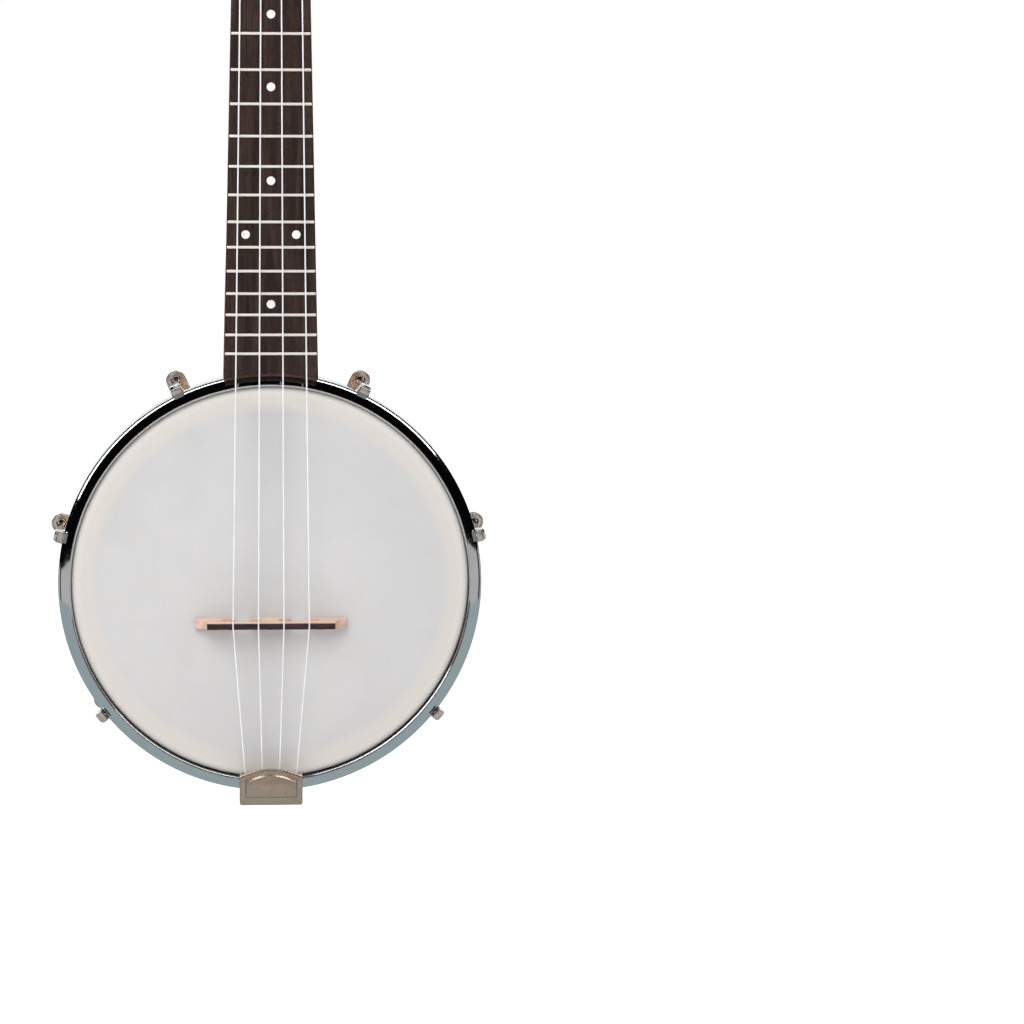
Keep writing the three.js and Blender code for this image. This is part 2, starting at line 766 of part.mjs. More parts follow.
function makeFretboard() {
  const high = nutHeight - fit;
  const low = boardEnd - boardEndWidth / 6;
  const plan = polygon([
    [-boardHalfWidthAt(low), low],
    [boardHalfWidthAt(low), low],
    [boardHalfWidthAt(high), high],
    [-boardHalfWidthAt(high), high],
  ]);
  const board = faceOn(plan, boardFace, boardBack);
  const frets = [];
  for (let number = 1; number <= fretCount; number += 1) {
    const height = fretAt(number);
    const foot = boardFace + fretHeight / 2;
    const crown = new THREE.Shape();
    crown.moveTo(foot, height - fretWidth / 2).lineTo(boardFace, height - fretWidth / 2);
    crown.quadraticCurveTo(boardFace - fretHeight, height - fretWidth / 4, boardFace - fretHeight, height);
    crown.quadraticCurveTo(
      boardFace - fretHeight,
      height + fretWidth / 4,
      boardFace,
      height + fretWidth / 2,
    );
    crown.lineTo(foot, height + fretWidth / 2);
    frets.push(sideOn(crown, boardHalfWidthAt(height) - fretEndInset, { curveSegments: 2 }));
  }
  const cut = potClearance(boardEnd, boardFace - overrun, boardBack + overrun);
  return joinAndCut([board, ...frets], [cut]);
}

// One section of the neck: flat to the front, with a rounded or squarer back
function neckRing(height, halfWidth, front, depth, squareness) {
  return Array.from({ length: neckSteps + 1 }, (_, i) => {
    const angle = (Math.PI * i) / neckSteps;
    const cosine = Math.cos(angle);
    const across = Math.sign(cosine) * Math.abs(cosine) ** (2 / squareness);
    const down = Math.abs(Math.sin(angle)) ** (2 / squareness);
    return new THREE.Vector3(halfWidth * across, front + depth * (i % neckSteps ? down : 0), height);
  });
}

// How far the neck has swept down into the heel, from 0 on the shaft to 1 at the heel's flat back
function heelSweepAt(height) {
  const sweep = THREE.MathUtils.clamp((heelTop - height) / (heelTop - heelShoulder), 0, 1);
  return sweep * sweep * (3 - 2 * sweep);
}

function neckDepthAt(height) {
  const along = Math.max((height - heelTop) / (nutHeight - heelTop), 0);
  const shaft = neckDepthAtHeel + (neckDepthAtNut - neckDepthAtHeel) * along;
  return shaft + (heelBack - neckFront - shaft) * heelSweepAt(height);
}

function headstockShape() {
  const half = headstockHalfWidth;
  const waist = half * waistShare;
  const foot = nutWidth / 2;
  const length = headstockLength;
  const side = new THREE.Path();
  side.moveTo(foot, -nutLength).lineTo(foot, length * flareStartShare);
  side.bezierCurveTo(
    foot,
    length * flareLowShare,
    waist,
    length * flareLowShare,
    waist,
    length * flareEndShare,
  );
  side.quadraticCurveTo(waist, length * sideShare, half, length * shoulderShare);
  side.bezierCurveTo(half, length * earShare, half * crownShare, length * dipShare, 0, length);
  const points = side.getPoints(headstockCurveSteps);
  const mirrored = points.slice(0, -1).reverse();
  return new THREE.Shape([...points, ...mirrored.map((point) => new THREE.Vector2(-point.x, point.y))]);
}

// Places a geometry drawn in the headstock's own frame, whose +Z runs up its tilted front face
function onHeadstock(geometry) {
  return geometry.rotateX(-headstockTilt).translate(0, neckFront, headstockFoot);
}

function makeNeck() {
  const rings = [];
  for (let i = 0; i <= heelRings; i += 1) {
    const height = heelTop - ((heelTop - heelShoulder) * (heelRings - i)) / heelRings;
    const squareness = 2 + (heelSquareness - 2) * heelSweepAt(height);
    rings.push(neckRing(height, boardHalfWidthAt(height), neckFront, neckDepthAt(height), squareness));
  }
  const foot = rimInnerRadius;
  rings.unshift(neckRing(foot, boardHalfWidthAt(foot), neckFront, heelBack - neckFront, heelSquareness));
  const blendStart = nutHeight - voluteLength;
  rings.push(neckRing(blendStart, boardHalfWidthAt(blendStart), neckFront, neckDepthAt(blendStart), 2));
  for (const height of [nutHeight, headstockFoot]) {
    rings.push(neckRing(height, nutWidth / 2, neckFront, neckDepthAtNut, (2 + voluteSquareness) / 2));
  }
  const volute = headstockFoot + voluteLength;
  const setback = voluteLength * Math.tan(headstockTilt) + headstockThickness / 4;
  const voluteHalfWidth = (nutWidth / 2) * voluteShare;
  rings.push(neckRing(volute, voluteHalfWidth, neckFront + setback, voluteDepth, voluteSquareness));
  const head = faceOn(headstockShape(), 0, headstockThickness);
  const cuts = [
    potClearance(boardEnd, neckFront - overrun, hoopBack + boardEndGap),
    potClearance(rimOuterRadius + fit, neckFront, heelBack + overrun),
    box(
      [-nutWidth, neckFront - headstockThickness, nutHeight - nutLength],
      [nutWidth, neckFront, headstockFoot],
    ),
  ];
  for (const { x, height } of posts) {
    const radius = bushingBodyRadius + fit;
    const hole = barAlongY(radius, -overrun, headstockThickness + overrun, postSides, x, height);
    cuts.push(onHeadstock(hole));
  }
  return joinAndCut([loft(rings), onHeadstock(head)], cuts);
}

function makeStringNut() {
  const low = nutHeight;
  const high = headstockFoot - fit;
  const top = stringAtNut + stringRadius + fit - slotDepth;
  const profile = new THREE.Shape();
  profile.moveTo(neckFront - fit, low).lineTo(neckFront - fit, high).lineTo(boardFace, high);
  profile.quadraticCurveTo(top, high, top, (low + high) / 2).lineTo(top, low);
  const body = sideOn(profile, nutWidth / 2);
  const slots = stringNames.map((_, i) => {
    const across = (i / (stringNames.length - 1) - 1 / 2) * nutStringSpread;
    const slot = stringRadius + fit;
    return box(
      [across - slot, top - overrun, low - overrun],
      [across + slot, top + slotDepth, high + overrun],
    );
  });
  return joinAndCut([body], slots);
}

// Post places on the headstock, one for each string, low and high on the left, then high and low on the right
const posts = stringNames.map((note, i) => {
  const side = i < stringNames.length / 2 ? -1 : 1;
  const outer = i === 0 || i === stringNames.length - 1;
  return { note, side, x: side * postOffset, height: outer ? lowerPostHeight : upperPostHeight };
});

function makeHousing({ x, height }) {
  const half = housingWidth / 2 - housingBevel;
  const low = height - housingLength / 2 - wormOffset / 3;
  const outline = rectangle(half, low + housingBevel, low + housingLength - housingBevel, housingRounding);
  const body = faceOn(outline, housingFront, housingBack - housingBevel, {
    bevelEnabled: true,
    bevelSize: housingBevel,
    bevelThickness: housingBevel,
    bevelSegments: 2,
    curveSegments: 3,
  }).translate(x, 0, 0);
  const flat = box(
    [x - housingWidth, housingFront - overrun, low - overrun],
    [x + housingWidth, housingFront, low + housingLength + overrun],
  );
  const outward = Math.sign(x);
  const inside = x + outward * (housingWidth / 2 - keyShaftInside - fit);
  const outside = x + outward * (housingWidth / 2 + overrun);
  const ends = [inside, outside].sort((a, b) => a - b);
  const shaftHole = barAlongX(keyShaftRadius + fit, ...ends, screwSides, keyAxisDepth, height - wormOffset);
  const postEnd = housingFront + postEndDepth + fit;
  const postHole = barAlongY(postRadius + fit, housingFront - overrun, postEnd, postSides, x, height);
  return joinAndCut([body], [flat, shaftHole, postHole]);
}

function makeBushing({ x, height }) {
  const bore = postRadius + fit;
  const seat = -fit;
  const top = seat - bushingFlangeHeight;
  const taper = bushingFlangeHeight / 2;
  return turned(
    [
      [bore, bushingDepth],
      [bushingBodyRadius, bushingDepth],
      [bushingBodyRadius, seat],
      [bushingFlangeRadius, seat],
      [bushingFlangeRadius, seat - taper],
      [bushingFlangeRadius - taper, top],
      [bore, top],
    ],
    postSides,
  ).translate(x, 0, height);
}

function makePost({ x, height }) {
  const foot = housingFront + postEndDepth;
  const waistTop = -(postHeight - postCapHeight);
  const waistFoot = waistTop + postWaistHeight;
  const lead = (postRadius - postWaistRadius) * 2;
  const body = turned(
    [
      [0, foot],
      [postRadius, foot],
      [postRadius, waistFoot],
      [postWaistRadius, waistFoot - lead],
      [postWaistRadius, waistTop],
      [postRadius, waistTop - lead],
      [postRadius, -postHeight + lead],
      [postRadius - lead, -postHeight],
      [0, -postHeight],
    ],
    postSides,
    false,
  );
  const reach = postRadius + overrun;
  const eye = barAlongZ(postHoleRadius, -reach, reach, hookSides, 0, waistTop - lead - postHoleRadius);
  return joinAndCut([body], [eye]).translate(x, 0, height);
}

// The key shaft runs from the housing out to the button
function keyStart({ side, x }) {
  return x + side * (housingWidth / 2 - keyShaftInside);
}

function makeKeyShaft(post) {
  const wall = post.x + post.side * (housingWidth / 2 + fit);
  const end = wall + post.side * (keyShaftLength + keyShaftGrip);
  const reach = [keyStart(post), end].sort((a, b) => a - b);
  const height = post.height - wormOffset;
  const collar = [wall, wall + post.side * keyCollarLength].sort((a, b) => a - b);
  return joinAndCut([
    barAlongX(keyShaftRadius, ...reach, screwSides, keyAxisDepth, height),
    barAlongX(keyCollarRadius, ...collar, screwSides, keyAxisDepth, height),
  ]);
}

function makeKeyButton(post) {
  const inner = post.x + post.side * (housingWidth / 2 + keyShaftLength);
  const half = buttonWidth / 2 - buttonBevel;
  const middle = inner + post.side * (half + buttonBevel);
  const height = post.height - wormOffset;
  const low = height - buttonLength / 2 + buttonBevel;
  const outline = rectangle(half, low, low + buttonLength - 2 * buttonBevel, half);
  const thick = buttonThickness / 2 - buttonBevel;
  const body = faceOn(outline, keyAxisDepth - thick, keyAxisDepth + thick, {
    bevelEnabled: true,
    bevelSize: buttonBevel,
    bevelThickness: buttonBevel,
    bevelSegments: 2,
    curveSegments: 3,
  }).translate(middle, 0, 0);
  const grip = post.x + post.side * (housingWidth / 2 + fit + keyShaftLength + keyShaftGrip + fit);
  const ends = [inner - post.side * overrun, grip].sort((a, b) => a - b);
  const socket = barAlongX(keyShaftRadius + fit, ...ends, screwSides, keyAxisDepth, height);
  return joinAndCut([body], [socket]);
}

// Cuts the opening between two feet: narrow between their toes, wider with round ends above them
function bridgeOpening(elevation, left, gap, floor) {
  const toeTop = floor - bridgeToeHeight;
  const radius = (bridgeArch - bridgeToeHeight) / 2;
  const middle = toeTop - radius;
  const leftEnd = left - bridgeToeReach + radius;
  const rightEnd = left + gap + bridgeToeReach - radius;
  elevation.lineTo(left, floor).lineTo(left, toeTop).lineTo(leftEnd, toeTop);
  elevation.absarc(leftEnd, middle, radius, Math.PI / 2, (Math.PI * 3) / 2, false);
  elevation.absarc(rightEnd, middle, radius, -Math.PI / 2, Math.PI / 2, false);
  elevation.lineTo(left + gap, toeTop).lineTo(left + gap, floor);
}

// Bridge: three feet with toes under a thin top, and scooped ends
function makeBridge() {
  const floor = -fit;
  const top = bridgeTop + capHeight + fit;
  const half = bridgeSpan / 2;
  const gap = (bridgeSpan - 3 * bridgeFootWidth) / 2;
  const elevation = new THREE.Shape();
  elevation.moveTo(-half, floor);
  for (const start of [-half, -half + bridgeFootWidth + gap]) {
    bridgeOpening(elevation, start + bridgeFootWidth, gap, floor);
  }
  elevation.lineTo(half, floor).lineTo(half, floor - bridgeEndHeight);
  elevation.quadraticCurveTo(capLength / 2, floor - bridgeEndHeight, capLength / 2, top);
  elevation.lineTo(-capLength / 2, top);
  elevation.quadraticCurveTo(-capLength / 2, floor - bridgeEndHeight, -half, floor - bridgeEndHeight);
  const slab = endOn(elevation, -bridgeFootThickness / 2, bridgeFootThickness / 2, { curveSegments: 5 });
  const wedge = sideOn(
    polygon([
      [floor + overrun, -bridgeFootThickness / 2],
      [floor, -bridgeFootThickness / 2],
      [top, -bridgeTopThickness / 2],
      [top, bridgeTopThickness / 2],
      [floor, bridgeFootThickness / 2],
      [floor + overrun, bridgeFootThickness / 2],
    ]),
    half + overrun,
  );
  return common(slab, wedge).translate(0, 0, bridgeHeightOnHead);
}

function makeBridgeCap() {
  const body = box(
    [-capLength / 2, bridgeTop, -bridgeTopThickness / 2],
    [capLength / 2, bridgeTop + capHeight, bridgeTopThickness / 2],
  );
  const slots = stringNames.map((_, i) => {
    const across = (i / (stringNames.length - 1) - 1 / 2) * bridgeStringSpread;
    const slot = stringRadius + fit;
    return box(
      [across - slot, bridgeTop - overrun, -bridgeTopThickness],
      [across + slot, bridgeTop + slotDepth / 2, bridgeTopThickness],
    );
  });
  return joinAndCut([body], slots).translate(0, 0, bridgeHeightOnHead);
}

// Tailpiece cover: an arched lid with an embossed panel, side walls and a short lip along the arch
function coverOutline(inset) {
  const half = coverWidth / 2 - inset;
  const shoulder = coverShoulder - inset;
  const apex = coverApex - inset;
  const foot = coverFoot + inset;
  const radius = Math.max(coverCornerRadius - inset, coverCornerRadius / 4);
  const control = 2 * apex - shoulder;
  const shape = new THREE.Shape();
  shape.moveTo(-half + radius, foot).lineTo(half - radius, foot);
  shape.quadraticCurveTo(half, foot, half, foot + radius);
  shape.lineTo(half, shoulder).quadraticCurveTo(0, control, -half, shoulder);
  shape.lineTo(-half, foot + radius).quadraticCurveTo(-half, foot, -half + radius, foot);
  return shape;
}

// What the pin's hole takes out of the cover and the base
function hingeBore(reach) {
  return barAlongX(hingePinRadius + fit, -reach, reach, hookSides, hingeDepth, hingeHeight);
}

function makeTailpieceCover() {
  const plateBack = coverFront + coverSheet;
  const plate = faceOn(coverOutline(0), coverFront, plateBack, { curveSegments: 8 });
  const panelFoot = coverPanelInset + (coverShoulder - coverFoot) / 4;
  const panelFront = coverFront - coverPanelRise;
  const panel = faceOn(coverOutline(coverPanelInset), panelFront, plateBack, { curveSegments: 8 });
  const belowPanel = box(
    [-coverWidth, panelFront - overrun, coverFoot - overrun],
    [coverWidth, coverFront, coverFoot + panelFoot],
  );
  const rimBackEdge = coverFront + coverSideDepth;
  const rim = joinAndCut(
    [faceOn(coverOutline(0), plateBack - coverSheet / 2, rimBackEdge, { curveSegments: 8 })],
    [faceOn(coverOutline(coverSheet), coverFront, rimBackEdge + overrun, { curveSegments: 8 })],
  );
  const half = coverWidth / 2;
  const lipBack = plateBack + coverLipDepth;
  const stringWay = box(
    [-half + coverSheet + fit, lipBack, coverShoulder - coverSheet],
    [half - coverSheet - fit, rimBackEdge + overrun, coverApex + overrun],
  );
  const footWay = box(
    [-half + coverSheet + fit, plateBack, coverFoot - overrun],
    [half - coverSheet - fit, rimBackEdge + overrun, coverFoot + 2 * coverSheet],
  );
  const pinHole = hingeBore(half + overrun);
  const lid = joinAndCut([plate, panel], [belowPanel]);
  return joinAndCut([lid, rim], [stringWay, footWay, pinHole]);
}

function makeTailpieceBase() {
  const half = baseHalfWidth;
  const knuckle = hingePinBack - coverSheet - fit;
  const plate = box([-half, baseFront, skirtInside], [half, baseBack, baseTop]);
  const skirt = box([-half, baseFront, skirtOutside], [half, baseSkirtDepth, skirtInside + coverSheet / 4]);
  const wall = box([-half, hingeDepth + hingePinRadius + fit, skirtOutside], [half, baseBack, skirtInside]);
  const earHigh = skirtOutside + baseEarHeight;
  const ear = polygon([
    [baseBack, skirtOutside],
    [baseBack, earHigh],
    ...arc(hingeDepth, earHigh - knuckle, knuckle, 1, 2, 3),
    ...arc(hingeDepth, hingeHeight, knuckle, 2, 3, 3),
  ]);
  const ears = [-1, 1].map((side) => {
    return sideOn(ear, baseEarSheet / 2).translate(side * (half - baseEarSheet / 2), 0, 0);
  });
  const lip = box([-half, baseFront - stringLipHeight, stringLip - baseSheet], [half, baseBack, stringLip]);
  const holes = stringNames.map((_, i) => {
    const across = (i / (stringNames.length - 1) - 1 / 2) * tailStringSpread;
    const low = stringLip - baseSheet - overrun;
    return barAlongZ(stringHoleRadius, low, stringLip + overrun, hookSides, across, stringAtTail);
  });
  const [above, below] = [baseFront - overrun, baseBack + overrun];
  const hookHole = barAlongY(hookRadius + fit, above, below, screwSides, 0, -hookCircle);
  const pinHole = hingeBore(half + overrun);
  return joinAndCut([plate, skirt, wall, ...ears, lip], [...holes, hookHole, pinHole]);
}

function makeHingePin() {
  return barAlongX(hingePinRadius, -coverWidth / 2, coverWidth / 2, hookSides, hingeDepth, hingeHeight);
}

// Turns a point of the headstock's own frame into the instrument's frame
function fromHeadstock(x, y, z) {
  const point = new THREE.Vector3(x, y, z).applyAxisAngle(new THREE.Vector3(1, 0, 0), -headstockTilt);
  return point.add(new THREE.Vector3(0, neckFront, headstockFoot));
}

// The turns of one string round its post, from where the string arrives
function windingPoints({ side, x, height }, lean) {
  const steps = Math.round(windingTurns * windingSteps);
  return Array.from({ length: steps + 1 }, (_, i) => {
    const turn = i / windingSteps;
    const angle = lean + 2 * Math.PI * turn;
    const across = x - side * windingRadius * Math.cos(angle);
    return fromHeadstock(across, windingTop + windingPitch * turn, height + windingRadius * Math.sin(angle));
  });
}

// Least distance between turns, less the string's own thickness, for points over half a turn apart
function leastGap(points, thickness) {
  let least = Infinity;
  for (let i = 0; i < points.length; i += 1) {
    for (let j = i + windingSteps / 2; j < points.length; j += 1) {
      least = Math.min(least, points[i].distanceTo(points[j]));
    }
  }
  return least - thickness;
}

function makeString(post, index) {
  const share = index / (stringNames.length - 1) - 1 / 2;
  const atNut = share * nutStringSpread;
  const atBridge = share * bridgeStringSpread;
  const atTail = share * tailStringSpread;
  const arrival = post.x - post.side * windingRadius;
  const lean = Math.atan2(Math.abs(arrival - atNut), post.height);
  const winding = windingPoints(post, lean);
  const knot = stringLip - baseSheet - fit - knotRadius;
  const points = [
    new THREE.Vector3(atTail, stringAtTail, knot),
    new THREE.Vector3(atTail, stringAtTail, stringLip + fit),
    new THREE.Vector3(atBridge, stringAtBridge, bridgeHeightOnHead),
    new THREE.Vector3(atNut, stringAtNut, nutHeight),
    new THREE.Vector3(atNut, stringAtNut, headstockFoot),
    ...winding,
  ];
  const bead = new THREE.SphereGeometry(knotRadius, stringSides + 2, stringSides).translate(
    atTail,
    stringAtTail,
    knot,
  );
  const gap = leastGap(winding, 2 * stringRadius);
  console.log(`string_${post.note}: least gap between turns ${gap.toFixed(2)} mm`);
  return joinAndCut([cordAlong(points, stringRadius, stringSides), bead]);
}

// Assembly
place('rim', makeRim(), finishes.maple);
place('drum_head', makeDrumHead(), finishes.film);
place('flesh_hoop', makeFleshHoop(), finishes.alloy);
place('tension_hoop', makeTensionHoop(), finishes.chrome);

const bracket = makeBracket(false);
const hook = makeHook(loopFront);
const hookNut = makeHookNut();
hardwareAngles.forEach((angle, i) => {
  const number = i + 1;
  const atTail = i === tailIndex;
  const group = groupOnRim(angle);
  place(`bracket_${number}`, atTail ? makeBracket(true) : bracket, finishes.nickel, group);
  place(`hook_${number}`, atTail ? makeHook(baseFront) : hook, finishes.nickel, group);
  place(`hook_nut_${number}`, hookNut, finishes.nickel, group);
});

place('neck', makeNeck(), finishes.neckWood);
place('fretboard', makeFretboard(), finishes.darkWood);
place('string_nut', makeStringNut(), finishes.bone);
place('dowel_stick', makeDowelStick(), finishes.dowelWood);
place('tail_screw', tailScrewShape(0).translate(0, tailScrewDepth, 0), finishes.nickel);
place('bridge', makeBridge(), finishes.bridgeWood);
place('bridge_cap', makeBridgeCap(), finishes.darkWood);
place('tailpiece_base', makeTailpieceBase(), finishes.satinNickel);
place('tailpiece_cover', makeTailpieceCover(), finishes.satinNickel);
place('tailpiece_hinge_pin', makeHingePin(), finishes.nickel);

const headstock = new THREE.Group();
headstock.position.set(0, neckFront, headstockFoot);
headstock.rotation.x = -headstockTilt;
instrument.add(headstock);
posts.forEach((post, i) => {
  place(`string_${post.note}`, makeString(post, i), finishes.nylon);
  place(`tuner_housing_${post.note}`, makeHousing(post), finishes.chrome, headstock);
  place(`tuner_bushing_${post.note}`, makeBushing(post), finishes.chrome, headstock);
  place(`tuner_post_${post.note}`, makePost(post), finishes.chrome, headstock);
  place(`tuner_key_${post.note}`, makeKeyShaft(post), finishes.chrome, headstock);
  place(`key_button_${post.note}`, makeKeyButton(post), finishes.chrome, headstock);
});

export default instrument;
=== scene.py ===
"""The looks of an open-back banjo ukulele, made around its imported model.

Shapes are drawn in millimetres about the middle of the drum head, on its front face, as the parts are, and
each finished piece is then placed in the row frame, in metres.
"""
import functools
import logging
import math
from collections.abc import Callable, Sequence
from dataclasses import dataclass
from enum import Enum

import bmesh
import bpy
from mathutils import Euler, Matrix, Vector, noise


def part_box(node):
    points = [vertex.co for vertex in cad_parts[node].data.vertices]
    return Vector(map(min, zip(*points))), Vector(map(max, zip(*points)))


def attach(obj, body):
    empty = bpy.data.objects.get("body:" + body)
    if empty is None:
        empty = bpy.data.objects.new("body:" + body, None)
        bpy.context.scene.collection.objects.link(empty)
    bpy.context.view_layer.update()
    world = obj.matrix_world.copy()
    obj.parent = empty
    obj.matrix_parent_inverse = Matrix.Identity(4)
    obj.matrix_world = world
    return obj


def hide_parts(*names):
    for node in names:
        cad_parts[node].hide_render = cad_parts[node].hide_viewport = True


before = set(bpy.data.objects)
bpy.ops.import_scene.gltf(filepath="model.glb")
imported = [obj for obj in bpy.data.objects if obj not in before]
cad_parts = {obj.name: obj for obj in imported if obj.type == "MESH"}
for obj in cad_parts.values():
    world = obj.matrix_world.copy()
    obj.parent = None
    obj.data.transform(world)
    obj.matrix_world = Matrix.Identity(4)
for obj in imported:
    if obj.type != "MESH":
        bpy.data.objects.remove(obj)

LOG = logging.getLogger("banjo_ukulele")
MM = 0.001
FIT = 0.3
NOTES = ("g", "c", "e", "a")
ROOT = "root"

Pair = tuple[float, float]
Triple = tuple[float, float, float]
Colour = tuple[float, float, float, float]
Shape = bmesh.types.BMesh
Piece = bpy.types.Object
Node = bpy.types.Node
Material = bpy.types.Material


class Lie(Enum):
    """The two axes that an outline spans before it gets its thickness along the third."""

    FACE_ON = (0, 2, 1)
    SIDE_ON = (1, 2, 0)
    END_ON = (0, 1, 2)


class Axis(Enum):
    """The axis that a turned shape is turned about."""

    ACROSS = "X"
    DEEP = "Y"
    UPRIGHT = "Z"


class Work(Enum):
    """What tool shapes do to a piece."""

    JOIN = "UNION"
    CUT = "DIFFERENCE"
    TRIM = "INTERSECT"


class Grain(Enum):
    """Which way a wood's grain runs."""

    ACROSS = 0
    ALONG_NECK = 2
    ROUND_RIM = 3


def pot_centre() -> Vector:
    """Find the middle of the drum head's front face in the row frame, in metres."""
    low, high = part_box("drum_head")
    return Vector((0.0, low.y, (low.z + high.z) / 2))


POT_CENTRE = pot_centre()
TO_ROW = Matrix.Translation(POT_CENTRE) @ Matrix.Scale(MM, 4)


def tint(code: str) -> Colour:
    """Turn a colour, six hexadecimal digits after a hash, into the scene's linear light."""
    shares = [int(code[i : i + 2], 16) / 255 for i in (1, 3, 5)]
    return (*(s / 12.92 if s <= 0.04045 else ((s + 0.055) / 1.055) ** 2.4 for s in shares), 1.0)


# Outlines


def bezier(*controls: Pair, steps: int = 12) -> list[Pair]:
    """Walk along a Bezier curve of any degree.

    Args:
        controls: The control points.
        steps: How many stretches the curve is cut into.

    Returns:
        The points, both ends included.
    """
    points = []
    for i in range(steps + 1):
        row = [Vector(c) for c in controls]
        while len(row) > 1:
            row = [a.lerp(b, i / steps) for a, b in zip(row, row[1:])]
        points.append((row[0].x, row[0].y))
    return points


def arc(centre: Pair, radius: float, start: float, end: float, steps: int = 6) -> list[Pair]:
    """Walk along an arc, from one end to the other, both in quarter turns from the first axis."""
    turns = [math.pi / 2 * (start + (end - start) * i / steps) for i in range(steps + 1)]
    return [(centre[0] + radius * math.cos(t), centre[1] + radius * math.sin(t)) for t in turns]


def rounded(outline: Sequence[Pair], radii: float | Sequence[float], steps: int = 5) -> list[Pair]:
    """Round the corners of a closed outline.

    Args:
        outline: Its corners, in order.
        radii: One radius for all the corners, or one for each.
        steps: How many stretches each rounding is cut into.

    Returns:
        The rounded outline.
    """
    each = [radii] * len(outline) if isinstance(radii, (int, float)) else list(radii)
    points: list[Pair] = []
    for i, radius in enumerate(each):
        before, corner, after = (Vector(outline[(i + k) % len(outline)]) for k in (-1, 0, 1))
        if radius <= 0:
            points.append((corner.x, corner.y))
            continue
        back, ahead = before - corner, after - corner
        half = back.angle(ahead) / 2
        reach = min(radius / math.tan(half), back.length / 2, ahead.length / 2)
        start, end = corner + back.normalized() * reach, corner + ahead.normalized() * reach
        points += bezier(tuple(start), tuple(corner), tuple(end), steps=steps)
    return points


def stepped(core: float, start: float, *steps: Pair) -> list[Pair]:
    """Draw a stepped turned profile.

    Args:
        core: The radius that it closes at.
        start: The depth of its first face.
        steps: Each step's radius and the depth of its end.

    Returns:
        The corners.
    """
    outline = [(core, start)]
    for radius, end in steps:
        outline += [(radius, outline[-1][1]), (radius, end)]
    return [*outline, (core, outline[-1][1])]


def rectangle(half_width: float, low: float, high: float) -> list[Pair]:
    """Give the corners of a rectangle that is centred on the second axis."""
    return [(-half_width, low), (half_width, low), (half_width, high), (-half_width, high)]


# Shapes


def added(name: str, data: bpy.types.ID) -> Piece:
    """Put a new object in the scene.

    Args:
        name: Its name.
        data: Its mesh, lamp or camera.

    Returns:
        The object.
    """
    piece = bpy.data.objects.new(name, data)
    bpy.context.scene.collection.objects.link(piece)
    return piece


def as_piece(shape: Shape, name: str = "work") -> Piece:
    """Turn a shape into an object, its doubles merged and its faces outwards.

    Args:
        shape: The shape, which is used up.
        name: The object's name.

    Returns:
        The object.
    """
    bmesh.ops.remove_doubles(shape, verts=shape.verts, dist=1e-4)
    bmesh.ops.recalc_face_normals(shape, faces=shape.faces)
    mesh = bpy.data.meshes.new(name)
    shape.to_mesh(mesh)
    shape.free()
    return added(name, mesh)


def shape_of(piece: Piece) -> Shape:
    """Turn a piece back into a shape.

    Args:
        piece: The piece, which is used up.

    Returns:
        The shape.
    """
    shape = bmesh.new()
    shape.from_mesh(piece.data)
    bpy.data.objects.remove(piece)
    return shape


def turned(profile: Sequence[Pair], segments: int = 64, axis: Axis = Axis.DEEP) -> Shape:
    """Turn a profile about an axis, as on a lathe.

    Args:
        profile: Points of radius and depth, closed as a ring or at radius zero.
        segments: How many faces go round.
        axis: The axis that the depth runs along.

    Returns:
        The closed shape.
    """
    shape = bmesh.new()
    angles = [2 * math.pi * i / segments for i in range(segments)]
    rings = []
    for radius, depth in profile:
        turns = angles if radius > 0 else [0.0]
        rings.append([shape.verts.new((radius * math.sin(t), depth, radius * math.cos(t))) for t in turns])
    following = rings[1:] + (rings[:1] if profile[0][0] > 0 else [])
    for first, second in zip(rings, following):
        for i in range(segments):
            j = i + 1
            face = [first[i % len(first)], second[i % len(second)]]
            face += [second[j % len(second)], first[j % len(first)]]
            face = list(dict.fromkeys(face))
            if len(face) > 2:
                shape.faces.new(face)
    if axis is Axis.ACROSS:
        shape.transform(Matrix.Rotation(-math.pi / 2, 4, "Z"))
    elif axis is Axis.UPRIGHT:
        shape.transform(Matrix.Rotation(math.pi / 2, 4, "X"))
    return shape


def prism(outline: Sequence[Pair], low: float, high: float, lie: Lie = Lie.FACE_ON) -> Shape:
    """Give an outline a thickness.

    Args:
        outline: The closed outline's points.
        low: Where the thickness starts.
        high: Where it ends.
        lie: Which axes the outline spans.

    Returns:
        The closed shape.
    """
    shape = bmesh.new()
    ends = []
    for level in (low, high):
        row = []
        for point in outline:
            place = [0.0, 0.0, 0.0]
            for axis, value in zip(lie.value, (*point, level)):
                place[axis] = value
            row.append(shape.verts.new(place))
        ends.append(row)
    return skin(shape, ends)


def skin(shape: Shape, rings: list[list[bmesh.types.BMVert]], caps: bool = True) -> Shape:
    """Skin a row of rings that have as many points each.

    Args:
        shape: The shape that holds the rings.
        rings: The rings, in order.
        caps: Whether both ends are closed by a face.

    Returns:
        The shape.
    """
    for first, second in zip(rings, rings[1:]):
        for i in range(len(first)):
            j = (i + 1) % len(first)
            shape.faces.new((first[i], first[j], second[j], second[i]))
    if caps:
        shape.faces.new(rings[0])
        shape.faces.new(rings[-1])
    return shape


def lofted(rings: Sequence[Sequence[Vector]]) -> Shape:
    """Skin a row of sections with as many points each, and close both ends."""
    shape = bmesh.new()
    return skin(shape, [[shape.verts.new(point) for point in ring] for ring in rings])


def block(low: Sequence[float], high: Sequence[float]) -> Shape:
    """Make a block between two corners."""
    return prism(rectangle((high[0] - low[0]) / 2, low[2], high[2]), low[1], high[1])


def bar(radius: float, low: float, high: float, axis: Axis = Axis.DEEP, segments: int = 32) -> Shape:
    """Make a plain round bar along an axis, which cuts a hole when it is taken out of a piece."""
    return turned(stepped(0, low, (radius, high)), segments, axis)


